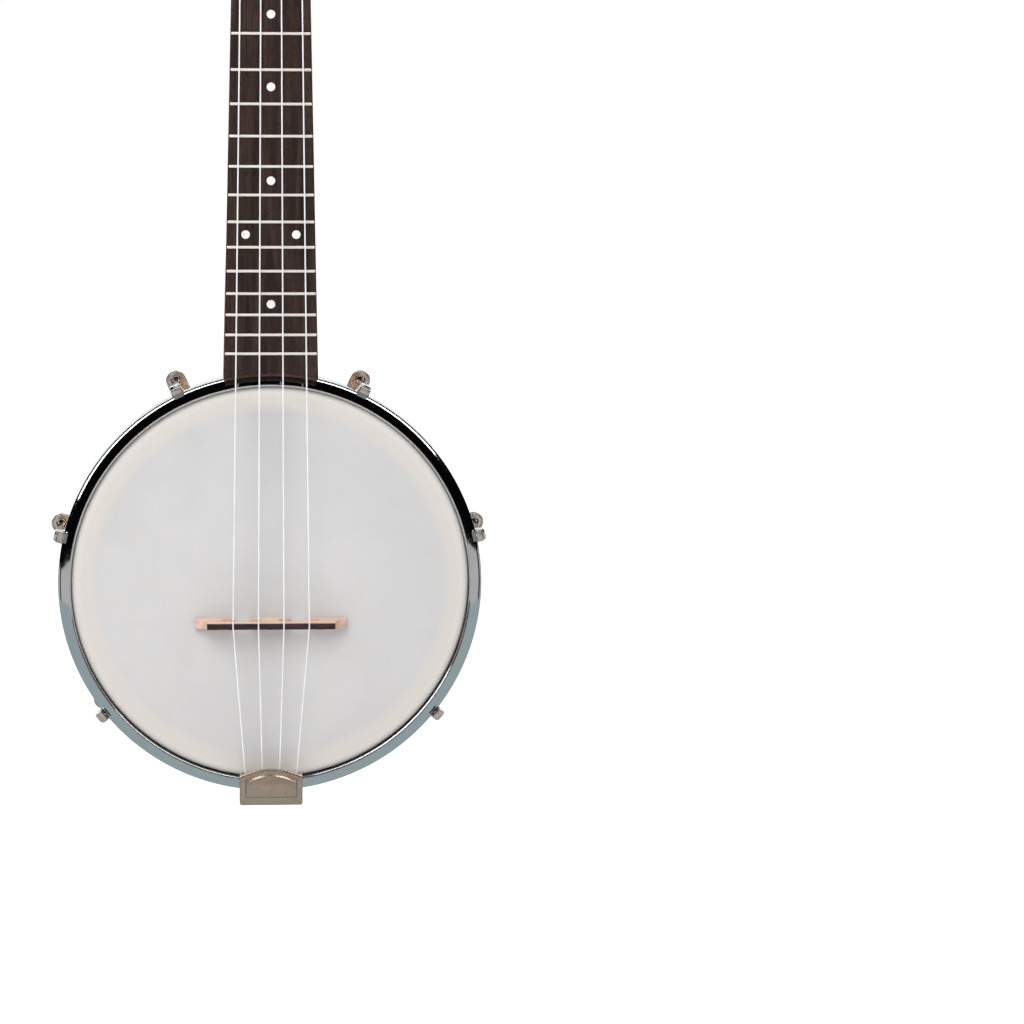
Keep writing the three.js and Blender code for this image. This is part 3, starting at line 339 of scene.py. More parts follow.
def moved(shape: Shape, x: float = 0, y: float = 0, z: float = 0) -> Shape:
    """Shift a shape and hand it back."""
    shape.transform(Matrix.Translation((x, y, z)))
    return shape


def shifted(piece: Piece, x: float = 0, y: float = 0, z: float = 0) -> Piece:
    """Shift a piece's mesh and hand the piece back."""
    piece.data.transform(Matrix.Translation((x, y, z)))
    return piece


def together(*shapes: Shape) -> Shape:
    """Gather separate shapes into one.

    Args:
        shapes: The shapes, which are used up.

    Returns:
        One shape that holds them all.
    """
    whole = bmesh.new()
    for shape in shapes:
        mesh = bpy.data.meshes.new("gathered")
        shape.to_mesh(mesh)
        shape.free()
        whole.from_mesh(mesh)
        bpy.data.meshes.remove(mesh)
    return whole


def settle(piece: Piece) -> Piece:
    """Make a piece's modifiers part of a plain mesh of its own.

    Args:
        piece: The piece.

    Returns:
        The piece.
    """
    graph = bpy.context.evaluated_depsgraph_get()
    graph.update()
    mesh = bpy.data.meshes.new_from_object(piece.evaluated_get(graph), depsgraph=graph)
    piece.modifiers.clear()
    piece.data = mesh
    return piece


def fitted(piece: Piece, work: Work, *tools: Shape) -> Piece:
    """Join, cut or trim a piece by tool shapes.

    Args:
        piece: The piece.
        work: What the tools do to it.
        tools: The tools, which are used up.

    Returns:
        The piece.
    """
    other = as_piece(together(*tools), "tool")
    modifier = piece.modifiers.new("fitted", "BOOLEAN")
    modifier.operation = work.value
    modifier.solver = "EXACT"
    modifier.object = other
    settle(piece)
    bpy.data.objects.remove(other)
    return piece


def eased(piece: Piece, width: float, segments: int = 2, angle: float = 32) -> Piece:
    """Break a piece's sharp edges, as a file or a tumbler does.

    Args:
        piece: The piece.
        width: How wide the broken edge is.
        segments: How many faces go round it.
        angle: Edges that turn more than this, in degrees, are broken.

    Returns:
        The piece.
    """
    modifier = piece.modifiers.new("eased", "BEVEL")
    modifier.width = width
    modifier.segments = segments
    modifier.limit_method = "ANGLE"
    modifier.angle_limit = math.radians(angle)
    modifier.miter_outer = "MITER_ARC"
    return settle(piece)


def copied(node: str) -> Piece:
    """Copy a node's solid back to millimetres, with its loose triangles merged.

    Args:
        node: The node's name.

    Returns:
        The copy, ready to be eased.
    """
    shape = bmesh.new()
    shape.from_mesh(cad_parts[node].data)
    shape.transform(TO_ROW.inverted())
    bmesh.ops.remove_doubles(shape, verts=shape.verts, dist=1e-3)
    bmesh.ops.dissolve_limit(shape, angle_limit=math.radians(1), verts=shape.verts, edges=shape.edges)
    return as_piece(shape, "copy")


# Wiring of node trees


class Wiring:
    """A node tree that nodes are added to and wired in."""

    def __init__(self, tree: bpy.types.NodeTree) -> None:
        """Start from a tree, which is emptied."""
        self.tree = tree
        self.tree.nodes.clear()

    def add(self, kind: str, feeds: dict | None = None, **settings: object) -> Node:
        """Add a node.

        Args:
            kind: The node's type; one without the word Node is a ShaderNode.
            feeds: What each input takes, by its name or number: a node, a socket or a plain value.
            settings: The node's own properties.

        Returns:
            The node.
        """
        node = self.tree.nodes.new(kind if "Node" in kind else f"ShaderNode{kind}")
        for name, value in settings.items():
            setattr(node, name, value)
        for name, value in (feeds or {}).items():
            self.feed(node.inputs[name], value)
        return node

    def feed(self, socket: bpy.types.NodeSocket, value: object) -> None:
        """Wire something to an input, or write a plain value on it.

        Args:
            socket: The input.
            value: A node, whose first output is wired, or a socket or a plain value.
        """
        if isinstance(value, Node):
            value = value.outputs[0]
        if isinstance(value, bpy.types.NodeSocket):
            self.tree.links.new(value, socket)
        else:
            socket.default_value = value

    def sum(self, operation: str, *values: object) -> Node:
        """Add a Math node that works on the given values."""
        return self.add("Math", dict(enumerate(values)), operation=operation)

    def range(self, value: object, low: object, high: object, start: object = 0.3, end: object = 0.7) -> Node:
        """Stretch a pattern from its start and end to a low and a high value."""
        feeds = {"Value": value, "From Min": start, "From Max": end, "To Min": low, "To Max": high}
        return self.add("MapRange", feeds)


class Paint(Wiring):
    """The node tree of one finish."""

    def __init__(self, name: str) -> None:
        """Start a new material.

        Args:
            name: Its name.
        """
        self.material = bpy.data.materials.new(name)
        self.material.use_nodes = True
        super().__init__(self.material.node_tree)
        self.place = self.add("TexCoord").outputs["Object"]

    def from_pot(self) -> bpy.types.NodeOutputs:
        """Measure places from the pot's centre: across, deep and up."""
        about = self.add("VectorMath", {0: self.place, 1: POT_CENTRE}, operation="SUBTRACT")
        return self.add("SeparateXYZ", {0: about}).outputs

    def polar(self) -> tuple[Node, Node]:
        """Measure places round the pot's axis.

        Returns:
            A vector of arc length, depth and radius, and the radius by itself, in metres.
        """
        x, depth, z = self.from_pot()
        radius = self.sum("SQRT", self.sum("ADD", self.sum("MULTIPLY", x, x), self.sum("MULTIPLY", z, z)))
        length = self.sum("MULTIPLY", self.sum("ARCTAN2", x, z), 0.096)
        return self.add("CombineXYZ", {0: length, 1: depth, 2: radius}), radius

    def noise(self, place: object, size: Sequence[float], detail: float = 3, twist: float = 0) -> Node:
        """Add a cloudy pattern, its clouds' size along each axis given in millimetres."""
        spread = self.add("Mapping", {0: place, "Scale": tuple(1 / (s * MM) for s in size)})
        return self.add("TexNoise", {0: spread, "Scale": 1, "Detail": detail, "Distortion": twist})

    def ramp(self, share: object, stops: Sequence[tuple[float, Colour]]) -> Node:
        """Add a colour ramp.

        Args:
            share: What the colours follow.
            stops: Each colour with its place on the ramp.

        Returns:
            The node.
        """
        node = self.add("ValToRGB", {0: share})
        elements = node.color_ramp.elements
        while len(elements) < len(stops):
            elements.new(1.0)
        for element, (place, shade) in zip(elements, stops):
            element.position = place
            element.color = shade
        return node

    def blend(self, share: object, first: object, second: object, kind: str = "MIX") -> bpy.types.NodeSocket:
        """Mix two colours by the second one's share."""
        feeds = {0: share, 6: first, 7: second}
        return self.add("Mix", feeds, data_type="RGBA", blend_type=kind).outputs[2]

    def bump(self, height: object, depth: float, strength: float = 1.0, under: object = None) -> Node:
        """Add a relief whose depth is in millimetres, over another where one is given."""
        feeds = {"Height": height, "Distance": depth * MM, "Strength": strength}
        return self.add("Bump", feeds if under is None else {**feeds, "Normal": under})

    def show(self, shader: object) -> Material:
        """Wire a shader to the output and hand back the material."""
        self.add("OutputMaterial", {"Surface": shader})
        return self.material

    def principled(self, **feeds: object) -> Node:
        """Add the main shader, its inputs named with underscores for blanks."""
        named = {name.replace("_", " "): value for name, value in feeds.items()}
        return self.add("BsdfPrincipled", named)


@dataclass(frozen=True)
class Finish:
    """What every finish does: it makes its material once, and holds the name of its slot."""

    name: str
    slot: str

    @functools.cache
    def material(self) -> Material:
        """Return the finish's material, made at the first call."""
        return self.paint(Paint(self.name))

    def paint(self, paint: Paint) -> Material:
        """Wire the finish's nodes."""
        raise NotImplementedError


@dataclass(frozen=True)
class WoodFinish(Finish):
    """Oiled or lacquered wood: broad figure, fine fibres and pores that run with the grain."""

    pale: str
    dark: str
    pore: str
    grain: Grain = Grain.ALONG_NECK
    figure: float = 9
    fibre: float = 0.45
    pore_width: float = 0.28
    pore_length: float = 5.5
    pore_start: float = 0.6
    pore_depth: float = 0.75
    roughness: float = 0.45
    shine: float = 0.5
    coat: float = 0.1
    reach: float = 14

    def along(self, across: float, length: float) -> tuple[float, ...]:
        """Give the size of a pattern's clouds along each axis, long with the grain."""
        axis = 0 if self.grain is Grain.ROUND_RIM else self.grain.value
        return tuple(length if i == axis else across for i in range(3))

    def base(self, paint: Paint, place: object) -> object:
        """Wire the colour of the bare wood, before its fibres and pores."""
        figure = paint.noise(place, self.along(self.figure, self.figure * self.reach), 4, 0.8)
        return paint.ramp(figure, [(0.34, tint(self.dark)), (0.66, tint(self.pale))])

    def paint(self, paint: Paint) -> Material:
        """Wire figure, fibres, pores and a thin coat.

        Args:
            paint: The finish's node tree.

        Returns:
            The material.
        """
        place = paint.polar()[0] if self.grain is Grain.ROUND_RIM else paint.place
        fibre = paint.noise(place, self.along(self.fibre, self.fibre * 60), 4, 0.3)
        pores = paint.noise(place, self.along(self.pore_width, self.pore_length), 2, 0.2)
        streaks = paint.noise(place, self.along(self.fibre * 5, self.fibre * 260), 3, 0.5)
        colour = self.base(paint, place)
        shade = paint.ramp(fibre, [(0.3, tint("#b9b9b9")), (0.62, tint("#ffffff"))])
        colour = paint.blend(0.5, colour, shade, "MULTIPLY")
        broad = paint.ramp(streaks, [(0.35, tint("#c9c4c0")), (0.6, tint("#ffffff"))])
        colour = paint.blend(0.5, colour, broad, "MULTIPLY")
        open_pore = paint.range(pores, 0, self.pore_depth, self.pore_start, self.pore_start + 0.09)
        colour = paint.blend(open_pore, colour, tint(self.pore))
        rough = paint.range(fibre, self.roughness - 0.06, self.roughness + 0.1)
        relief = paint.bump(open_pore, -0.12, 0.5)
        relief = paint.bump(fibre, 0.05, 0.35, relief)
        return paint.show(paint.principled(
            Base_Color=colour, Roughness=rough, Normal=relief, Specular_IOR_Level=self.shine,
            Coat_Weight=self.coat, Coat_Roughness=0.25,
        ))


@dataclass(frozen=True)
class PlyFinish(WoodFinish):
    """Bent plies: each layer of the rim has its own shade, with a thin dark glue line between."""

    inner_radius: float = 92.3
    wall: float = 7.5
    ply_shares: tuple[float, ...] = (0.15, 0.2, 0.17, 0.17, 0.17, 0.14)
    ply_shades: tuple[str, ...] = ("#e4b988", "#f0d0a2", "#e6bf8e", "#f2d3a8", "#e4ba86", "#eecb9b")
    glue: str = "#b98c5c"
    inner_glue: str = "#6f4a2c"
    glue_share: float = 0.02

    def base(self, paint: Paint, place: object) -> object:
        """Wire the plies by their distance from the pot's axis.

        Args:
            paint: The finish's node tree.
            place: The vector that patterns are read from.

        Returns:
            The node that gives the colour.
        """
        radius = paint.polar()[1]
        wander = paint.noise(place, self.along(2.5, 60), 2)
        start, end = self.inner_radius * MM, (self.inner_radius + self.wall) * MM
        share = paint.range(radius, 0, 1, start, end)
        share = paint.sum("ADD", share, paint.range(wander, -0.012, 0.012))
        stops = []
        edge = 0.0
        for i, (width, shade) in enumerate(zip(self.ply_shares, self.ply_shades)):
            glue = self.inner_glue if i == 0 else self.glue
            stops += [(edge + self.glue_share, tint(shade)), (edge + width - self.glue_share, tint(shade))]
            edge += width
            stops.append((edge, tint(glue)))
        return paint.ramp(share, stops[:-1])


@dataclass(frozen=True)
class MetalFinish(Finish):
    """Plated or bare metal: a tint, a roughness that wanders, fine scratches and faint tarnish."""

    shade: str
    tarnish: str
    roughness: float
    spread: float = 0.05
    scratch: Triple = (0.2, 0.2, 6)
    scratch_depth: float = 0.01
    tarnish_share: float = 0.25
    metal: float = 1.0

    def paint(self, paint: Paint) -> Material:
        """Wire tarnish, handling marks and scratches.

        Args:
            paint: The finish's node tree.

        Returns:
            The material.
        """
        clouds = paint.noise(paint.place, (12, 12, 12), 5, 0.4)
        marks = paint.noise(paint.place, (2.2, 2.2, 2.2), 4)
        lines = paint.noise(paint.place, self.scratch, 2)
        dull = paint.range(clouds, 0, self.tarnish_share, 0.42, 0.72)
        colour = paint.blend(dull, tint(self.shade), tint(self.tarnish))
        rough = paint.range(marks, self.roughness - self.spread / 2, self.roughness + self.spread)
        relief = paint.bump(lines, self.scratch_depth, 0.4)
        return paint.show(
            paint.principled(Base_Color=colour, Metallic=self.metal, Roughness=rough, Normal=relief)
        )


@dataclass(frozen=True)
class FilmFinish(Finish):
    """Frosted drum film: grey-white, a painted warm, light ring where it lies on the rim, and a little
    see-through.
    """

    middle: str = "#dbdad9"
    grey: str = "#d7d6d5"
    # The film's colour over the rim and at its rolled edge is painted light: lighter and warmer where the rim
    # backs it.
    painted_rim_band: str = "#dcd5ce"
    edge: str = "#e8e3de"
    band_places: tuple[float, ...] = (88.0, 93.5, 96.0, 101.0)
    shade: str = "#faf8f9"
    shade_width: Pair = (8.0, 15.0)
    shade_top: Pair = (20.0, 75.0)
    through: Pair = (0.15, 0.05)
    clear: Pair = (0.08, 0.02)

    def paint(self, paint: Paint) -> Material:
        """Wire the painted warm ring over the rim, the stick's painted soft shade, the coat's grit and the
        light that comes through.

        Args:
            paint: The finish's node tree.

        Returns:
            The material.
        """
        radius = paint.polar()[1]
        clouds = paint.noise(paint.place, (34, 34, 34), 3, 0.5)
        grit = paint.noise(paint.place, (0.35, 0.35, 0.35), 3)
        middle = paint.ramp(clouds, [(0.35, tint(self.grey)), (0.65, tint(self.middle))])
        middle = paint.blend(self.stick_shade(paint), middle, tint(self.shade), "MULTIPLY")
        # Painted light: the film is lightened and warmed over the rim, most at its rolled edge, where the rim
        # shows through.
        fade_start, band_start, edge_start, end = (place * MM for place in self.band_places)
        on_rim = paint.range(radius, 0, 1, fade_start, band_start)
        colour = paint.blend(on_rim, middle, tint(self.painted_rim_band))
        colour = paint.blend(paint.range(radius, 0, 1, edge_start, end), colour, tint(self.edge))
        colour = paint.blend(paint.range(grit, 0, 0.1), colour, tint("#c9c9c7"))
        relief = paint.bump(grit, 0.03, 0.5)
        coat = paint.principled(Base_Color=colour, Roughness=0.55, Normal=relief, Specular_IOR_Level=0.35)
        glow = paint.add("BsdfTranslucent", {"Color": colour})
        share = paint.range(on_rim, *self.through, 0, 1)
        film = paint.add("MixShader", {0: share, 1: coat, 2: glow})
        clear = paint.add("BsdfTransparent")
        share = paint.range(on_rim, *self.clear, 0, 1)
        return paint.show(paint.add("MixShader", {0: share, 1: film, 2: clear}))

    def stick_shade(self, paint: Paint) -> Node:
        """Wire the soft shade of the dowel stick behind the film, strongest next to the neck.

        Args:
            paint: The finish's node tree.

        Returns:
            A node that gives the shade's share.
        """
        x, _, z = paint.from_pot()
        inner, outer = (place * MM for place in self.shade_width)
        low, high = (place * MM for place in self.shade_top)
        near = paint.range(paint.sum("ABSOLUTE", x), 1, 0, inner, outer)
        return paint.sum("MULTIPLY", near, paint.range(z, 0.35, 1, low, high))


@dataclass(frozen=True)
class SmoothFinish(Finish):
    """Bone, nylon or a shell dot: a pale body with faint clouds and a soft shine."""

    shade: str
    cloud: str
    cloud_size: Triple = (3, 3, 9)
    roughness: float = 0.3

    def paint(self, paint: Paint) -> Material:
        """Wire the clouds and the shine.

        Args:
            paint: The finish's node tree.

        Returns:
            The material.
        """
        clouds = paint.noise(paint.place, self.cloud_size, 4, 0.5)
        fine = paint.noise(paint.place, (0.4, 0.4, 1.6), 2)
        colour = paint.ramp(clouds, [(0.35, tint(self.cloud)), (0.6, tint(self.shade))])
        rough = paint.range(fine, self.roughness - 0.05, self.roughness + 0.1)
        relief = paint.bump(fine, 0.01, 0.3)
        return paint.show(paint.principled(Base_Color=colour, Roughness=rough, Normal=relief))


RIM_PLIES = PlyFinish(
    "rim_plies", "rim_maple", "#f0d9ab", "#dcb88a", "#b98c5c", Grain.ROUND_RIM,
    fibre=0.5, pore_width=0.25, pore_length=3.5, pore_start=0.64, pore_depth=0.35,
    roughness=0.42, coat=0.25,
)
NECK_WOOD = WoodFinish(
    "oiled_neck", "neck_wood", "#bb8066", "#935f49", "#573628", figure=11, pore_start=0.585, coat=0.2
)
FRETBOARD_WOOD = WoodFinish(
    "open_pored_board", "fretboard_wood", "#47342e", "#2d211e", "#16100e",
    figure=5, fibre=0.3, pore_length=4, pore_start=0.57, roughness=0.5, shine=0.2, coat=0.0,
)
DOWEL_WOOD = WoodFinish(
    "sanded_dowel", "dowel_wood", "#eeab78", "#d08552", "#7d4524",
    figure=7, pore_start=0.575, pore_length=4.5, roughness=0.55, coat=0.0,
)
# Torn end grain, darker than the dowel; much of that darkness is painted shade for the pocket's hollow.
TORN_WOOD_AND_SHADE = WoodFinish(
    "pocket_wood", "dowel_wood", "#8a5230", "#4e2a17", "#23120a",
    figure=2, reach=2, roughness=0.85, coat=0.0,
)
BRIDGE_WOOD = WoodFinish(
    "bare_maple", "bridge_wood", "#e3c5b3", "#d4b09b", "#b38872", Grain.ACROSS,
    figure=3, fibre=0.25, pore_width=0.2, pore_length=2, pore_start=0.66, pore_depth=0.25,
    roughness=0.5, coat=0.0,
)
CAP_WOOD = WoodFinish(
    "bridge_cap_wood", "fretboard_wood", "#4a3636", "#2f2223", "#161011", Grain.ACROSS,
    figure=2, fibre=0.2, pore_width=0.15, pore_length=2, roughness=0.4, shine=0.3, coat=0.0,
)
HOOP_CHROME = MetalFinish(
    "polished_chrome", "hoop_chrome", "#d9dfe2", "#b9c2c6", 0.06, 0.04, scratch_depth=0.003
)
TUNER_CHROME = MetalFinish("tuner_chrome", "hoop_chrome", "#dcdedf", "#bcc1c4", 0.19, 0.08)
NICKEL = MetalFinish("tumbled_nickel", "hardware_nickel", "#e6dbd0", "#b3a699", 0.15, 0.1)
SATIN_NICKEL = MetalFinish(
    "brushed_nickel", "satin_nickel", "#d6c1af", "#baa594", 0.25, 0.07,
    scratch=(5, 0.15, 0.15), scratch_depth=0.012, tarnish_share=0.5,
)
# Painted shade: a near-black steel for the hollows of the nuts, where shade falls.
SOCKET_SHADE = MetalFinish("oily_socket", "hardware_nickel", "#2e2a27", "#1b1816", 0.5, 0.1)
# Only partly metallic: the pale diffuse share is a painted sheen that stands in for the frets' bright
# reflection.
FRET_METAL_AND_SHEEN = MetalFinish(
    "fret_metal", "hardware_nickel", "#faf5e8", "#e9e2d2", 0.38, 0.06,
    scratch=(5, 0.2, 0.2), scratch_depth=0.003, metal=0.45,
)
ALLOY = MetalFinish("turned_alloy", "alloy", "#b8bcc0", "#8f9397", 0.4, 0.1)
FILM = FilmFinish("sprayed_film", "frosted_film")
NYLON = SmoothFinish("clear_nylon", "nylon", "#eceeef", "#dfe2e4", roughness=0.35)
BONE = SmoothFinish("polished_bone", "bone", "#efe8d6", "#dccfb4", roughness=0.38)
SHELL = SmoothFinish("dot_shell", "bone", "#f1f1ec", "#d5d8d6", (1.2, 1.2, 1.2), 0.2)


def finish_piece(
    piece: Piece,
    name: str,
    finish: Finish,
    nodes: Sequence[str] = (),
    body: str = ROOT,
    smooth: float = 34,
) -> None:
    """Place a finished piece in the row frame, dress it and hang it on its body.

    Args:
        piece: The piece, drawn in millimetres about the drum head.
        name: Its name.
        finish: Its finish, given where the mesh has none yet.
        nodes: The CAD nodes that it stands for.
        body: The CAD body that it rides on.
        smooth: Edges that turn more than this, in degrees, stay crisp.
    """
    mesh = piece.data
    mesh.transform(TO_ROW)
    piece.name = mesh.name = name
    if not [m for m in mesh.materials if m]:
        mesh.materials.clear()
        mesh.materials.append(finish.material())
    mesh.polygons.foreach_set("use_smooth", [True] * len(mesh.polygons))
    mesh.set_sharp_from_angle(angle=math.radians(smooth))
    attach(piece, body)
    if nodes:
        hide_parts(*nodes)
    LOG.info("%s: %d faces on %s", name, len(mesh.polygons), body)


def dress_by_face(
    piece: Piece, main: Finish, other: Finish, chosen: Callable[[bpy.types.MeshPolygon], bool]
) -> None:
    """Dress a piece in two finishes.

    Args:
        piece: The piece.
        main: The finish of most faces.
        other: The finish of the chosen faces.
        chosen: Tells whether a face is chosen.
    """
    mesh = piece.data
    mesh.materials.clear()
    for finish in (main, other):
        mesh.materials.append(finish.material())
    for face in mesh.polygons:
        face.material_index = int(chosen(face))


# Geometry Nodes


class Pattern(Wiring):
    """A Geometry Nodes tree with named inputs, which ends in real faces with their material."""

    def __init__(self, name: str, inputs: dict[str, str]) -> None:
        """Start a tree.

        Args:
            name: The tree's name.
            inputs: Each named input and its kind of socket.
        """
        super().__init__(bpy.data.node_groups.new(name, "GeometryNodeTree"))
        interface = self.tree.interface
        interface.new_socket("Geometry", in_out="OUTPUT", socket_type="NodeSocketGeometry")
        for label, kind in {"Geometry": "Geometry", **inputs, "Finish": "Material"}.items():
            interface.new_socket(label, in_out="INPUT", socket_type=f"NodeSocket{kind}")
        self.given = self.add("NodeGroupInput").outputs

    def end(self, geometry: object) -> None:
        """Make the instances real, give them their material and close the tree."""
        feeds = {0: self.add("GeometryNodeRealizeInstances", {0: geometry}), "Material": self.given["Finish"]}
        self.add("NodeGroupOutput", {0: self.add("GeometryNodeSetMaterial", feeds)})

    def run(self, start: Piece | None = None, **values: object) -> Piece:
        """Run the tree once and keep its result as a plain mesh.

        Args:
            start: The object that the tree works on, or a new empty one.
            values: The inputs, named with underscores for blanks.

        Returns:
            The object, without its modifier.
        """
        piece = start or as_piece(bmesh.new())
        modifier = piece.modifiers.new("pattern", "NODES")
        modifier.node_group = self.tree
        for item in self.tree.interface.items_tree:
            value = values.get(item.name.replace(" ", "_"))
            if item.in_out == "INPUT" and value is not None:
                modifier[item.identifier] = value
        return settle(piece)


def round_pattern() -> Pattern:
    """Build the tree that sets a piece round the pot, once for each clock angle but the tail's.

    Returns:
        The tree: Piece, Count and Skip are its inputs.
    """
    pattern = Pattern("round_the_pot", {"Piece": "Object", "Count": "Int", "Skip": "Int"})
    given = pattern.given
    index = pattern.add("GeometryNodeInputIndex")
    middle = pattern.sum("DIVIDE", pattern.sum("SUBTRACT", given["Count"], 1.0), 2.0)
    step = pattern.sum("DIVIDE", 2 * math.pi, given["Count"])
    angle = pattern.sum("ADD", math.pi, pattern.sum("MULTIPLY", pattern.sum("SUBTRACT", index, middle), step))
    turn = pattern.add("FunctionNodeEulerToRotation", {0: pattern.add("CombineXYZ", {1: angle})})
    points = pattern.add("GeometryNodePoints", {"Count": given["Count"]})
    piece = pattern.add("GeometryNodeObjectInfo", {"Object": given["Piece"]})
    feeds = {"Points": points, "Instance": piece.outputs["Geometry"], "Rotation": turn}
    seated = pattern.add("GeometryNodeInstanceOnPoints", feeds)
    feeds = {2: index, 3: given["Skip"]}
    left_out = pattern.add("FunctionNodeCompare", feeds, data_type="INT", operation="EQUAL")
    pattern.end(pattern.add("GeometryNodeDeleteGeometry", {0: seated, 1: left_out}, domain="INSTANCE"))
    return pattern


def fret_pattern() -> Pattern:
    """Build the tree that lays the frets by the rule of equal temperament.

    Returns:
        The tree, whose inputs are the fret bar, the count, the scale and the board's ends and widths.
    """
    numbers = ("Scale", "Nut height", "End height", "Nut width", "End width", "Face", "Inset")
    sockets = {"Bar": "Object", "Count": "Int", **{n: "Float" for n in numbers}}
    pattern = Pattern("frets", sockets)
    given = pattern.given
    number = pattern.sum("ADD", pattern.add("GeometryNodeInputIndex"), 1.0)
    left = pattern.sum("POWER", 2.0, pattern.sum("DIVIDE", number, -12.0))
    below = pattern.sum("MULTIPLY", given["Scale"], pattern.sum("SUBTRACT", 1.0, left))
    height = pattern.sum("SUBTRACT", given["Nut height"], below)
    widths, heights = ([given[f"{place} {size}"] for place in ("End", "Nut")] for size in ("width", "height"))
    width = pattern.range(height, *widths, *heights)
    length = pattern.sum("SUBTRACT", width, given["Inset"])
    place = pattern.add("CombineXYZ", {1: given["Face"], 2: height})
    size = pattern.add("CombineXYZ", {0: length, 1: 1.0, 2: 1.0})
    points = pattern.add("GeometryNodePoints", {"Count": given["Count"], "Position": place})
    piece = pattern.add("GeometryNodeObjectInfo", {"Object": given["Bar"]})
    feeds = {"Points": points, "Instance": piece.outputs["Geometry"], "Scale": size}
    pattern.end(pattern.add("GeometryNodeInstanceOnPoints", feeds))
    return pattern


def cord_pattern() -> Pattern:
    """Build the tree that runs a round string along its route.

    Returns:
        The tree: Radius and Sides are its inputs.
    """
    pattern = Pattern("string_along_its_route", {"Radius": "Float", "Sides": "Int"})
    given = pattern.given
    route = pattern.add("GeometryNodeMeshToCurve", {0: given["Geometry"]})
    size = {"Resolution": given["Sides"], "Radius": given["Radius"]}
    ring = pattern.add("GeometryNodeCurvePrimitiveCircle", size)
    feeds = {"Curve": route, "Profile Curve": ring, "Fill Caps": True}
    pattern.end(pattern.add("GeometryNodeCurveToMesh", feeds))
    return pattern


# The instrument's sub-assemblies


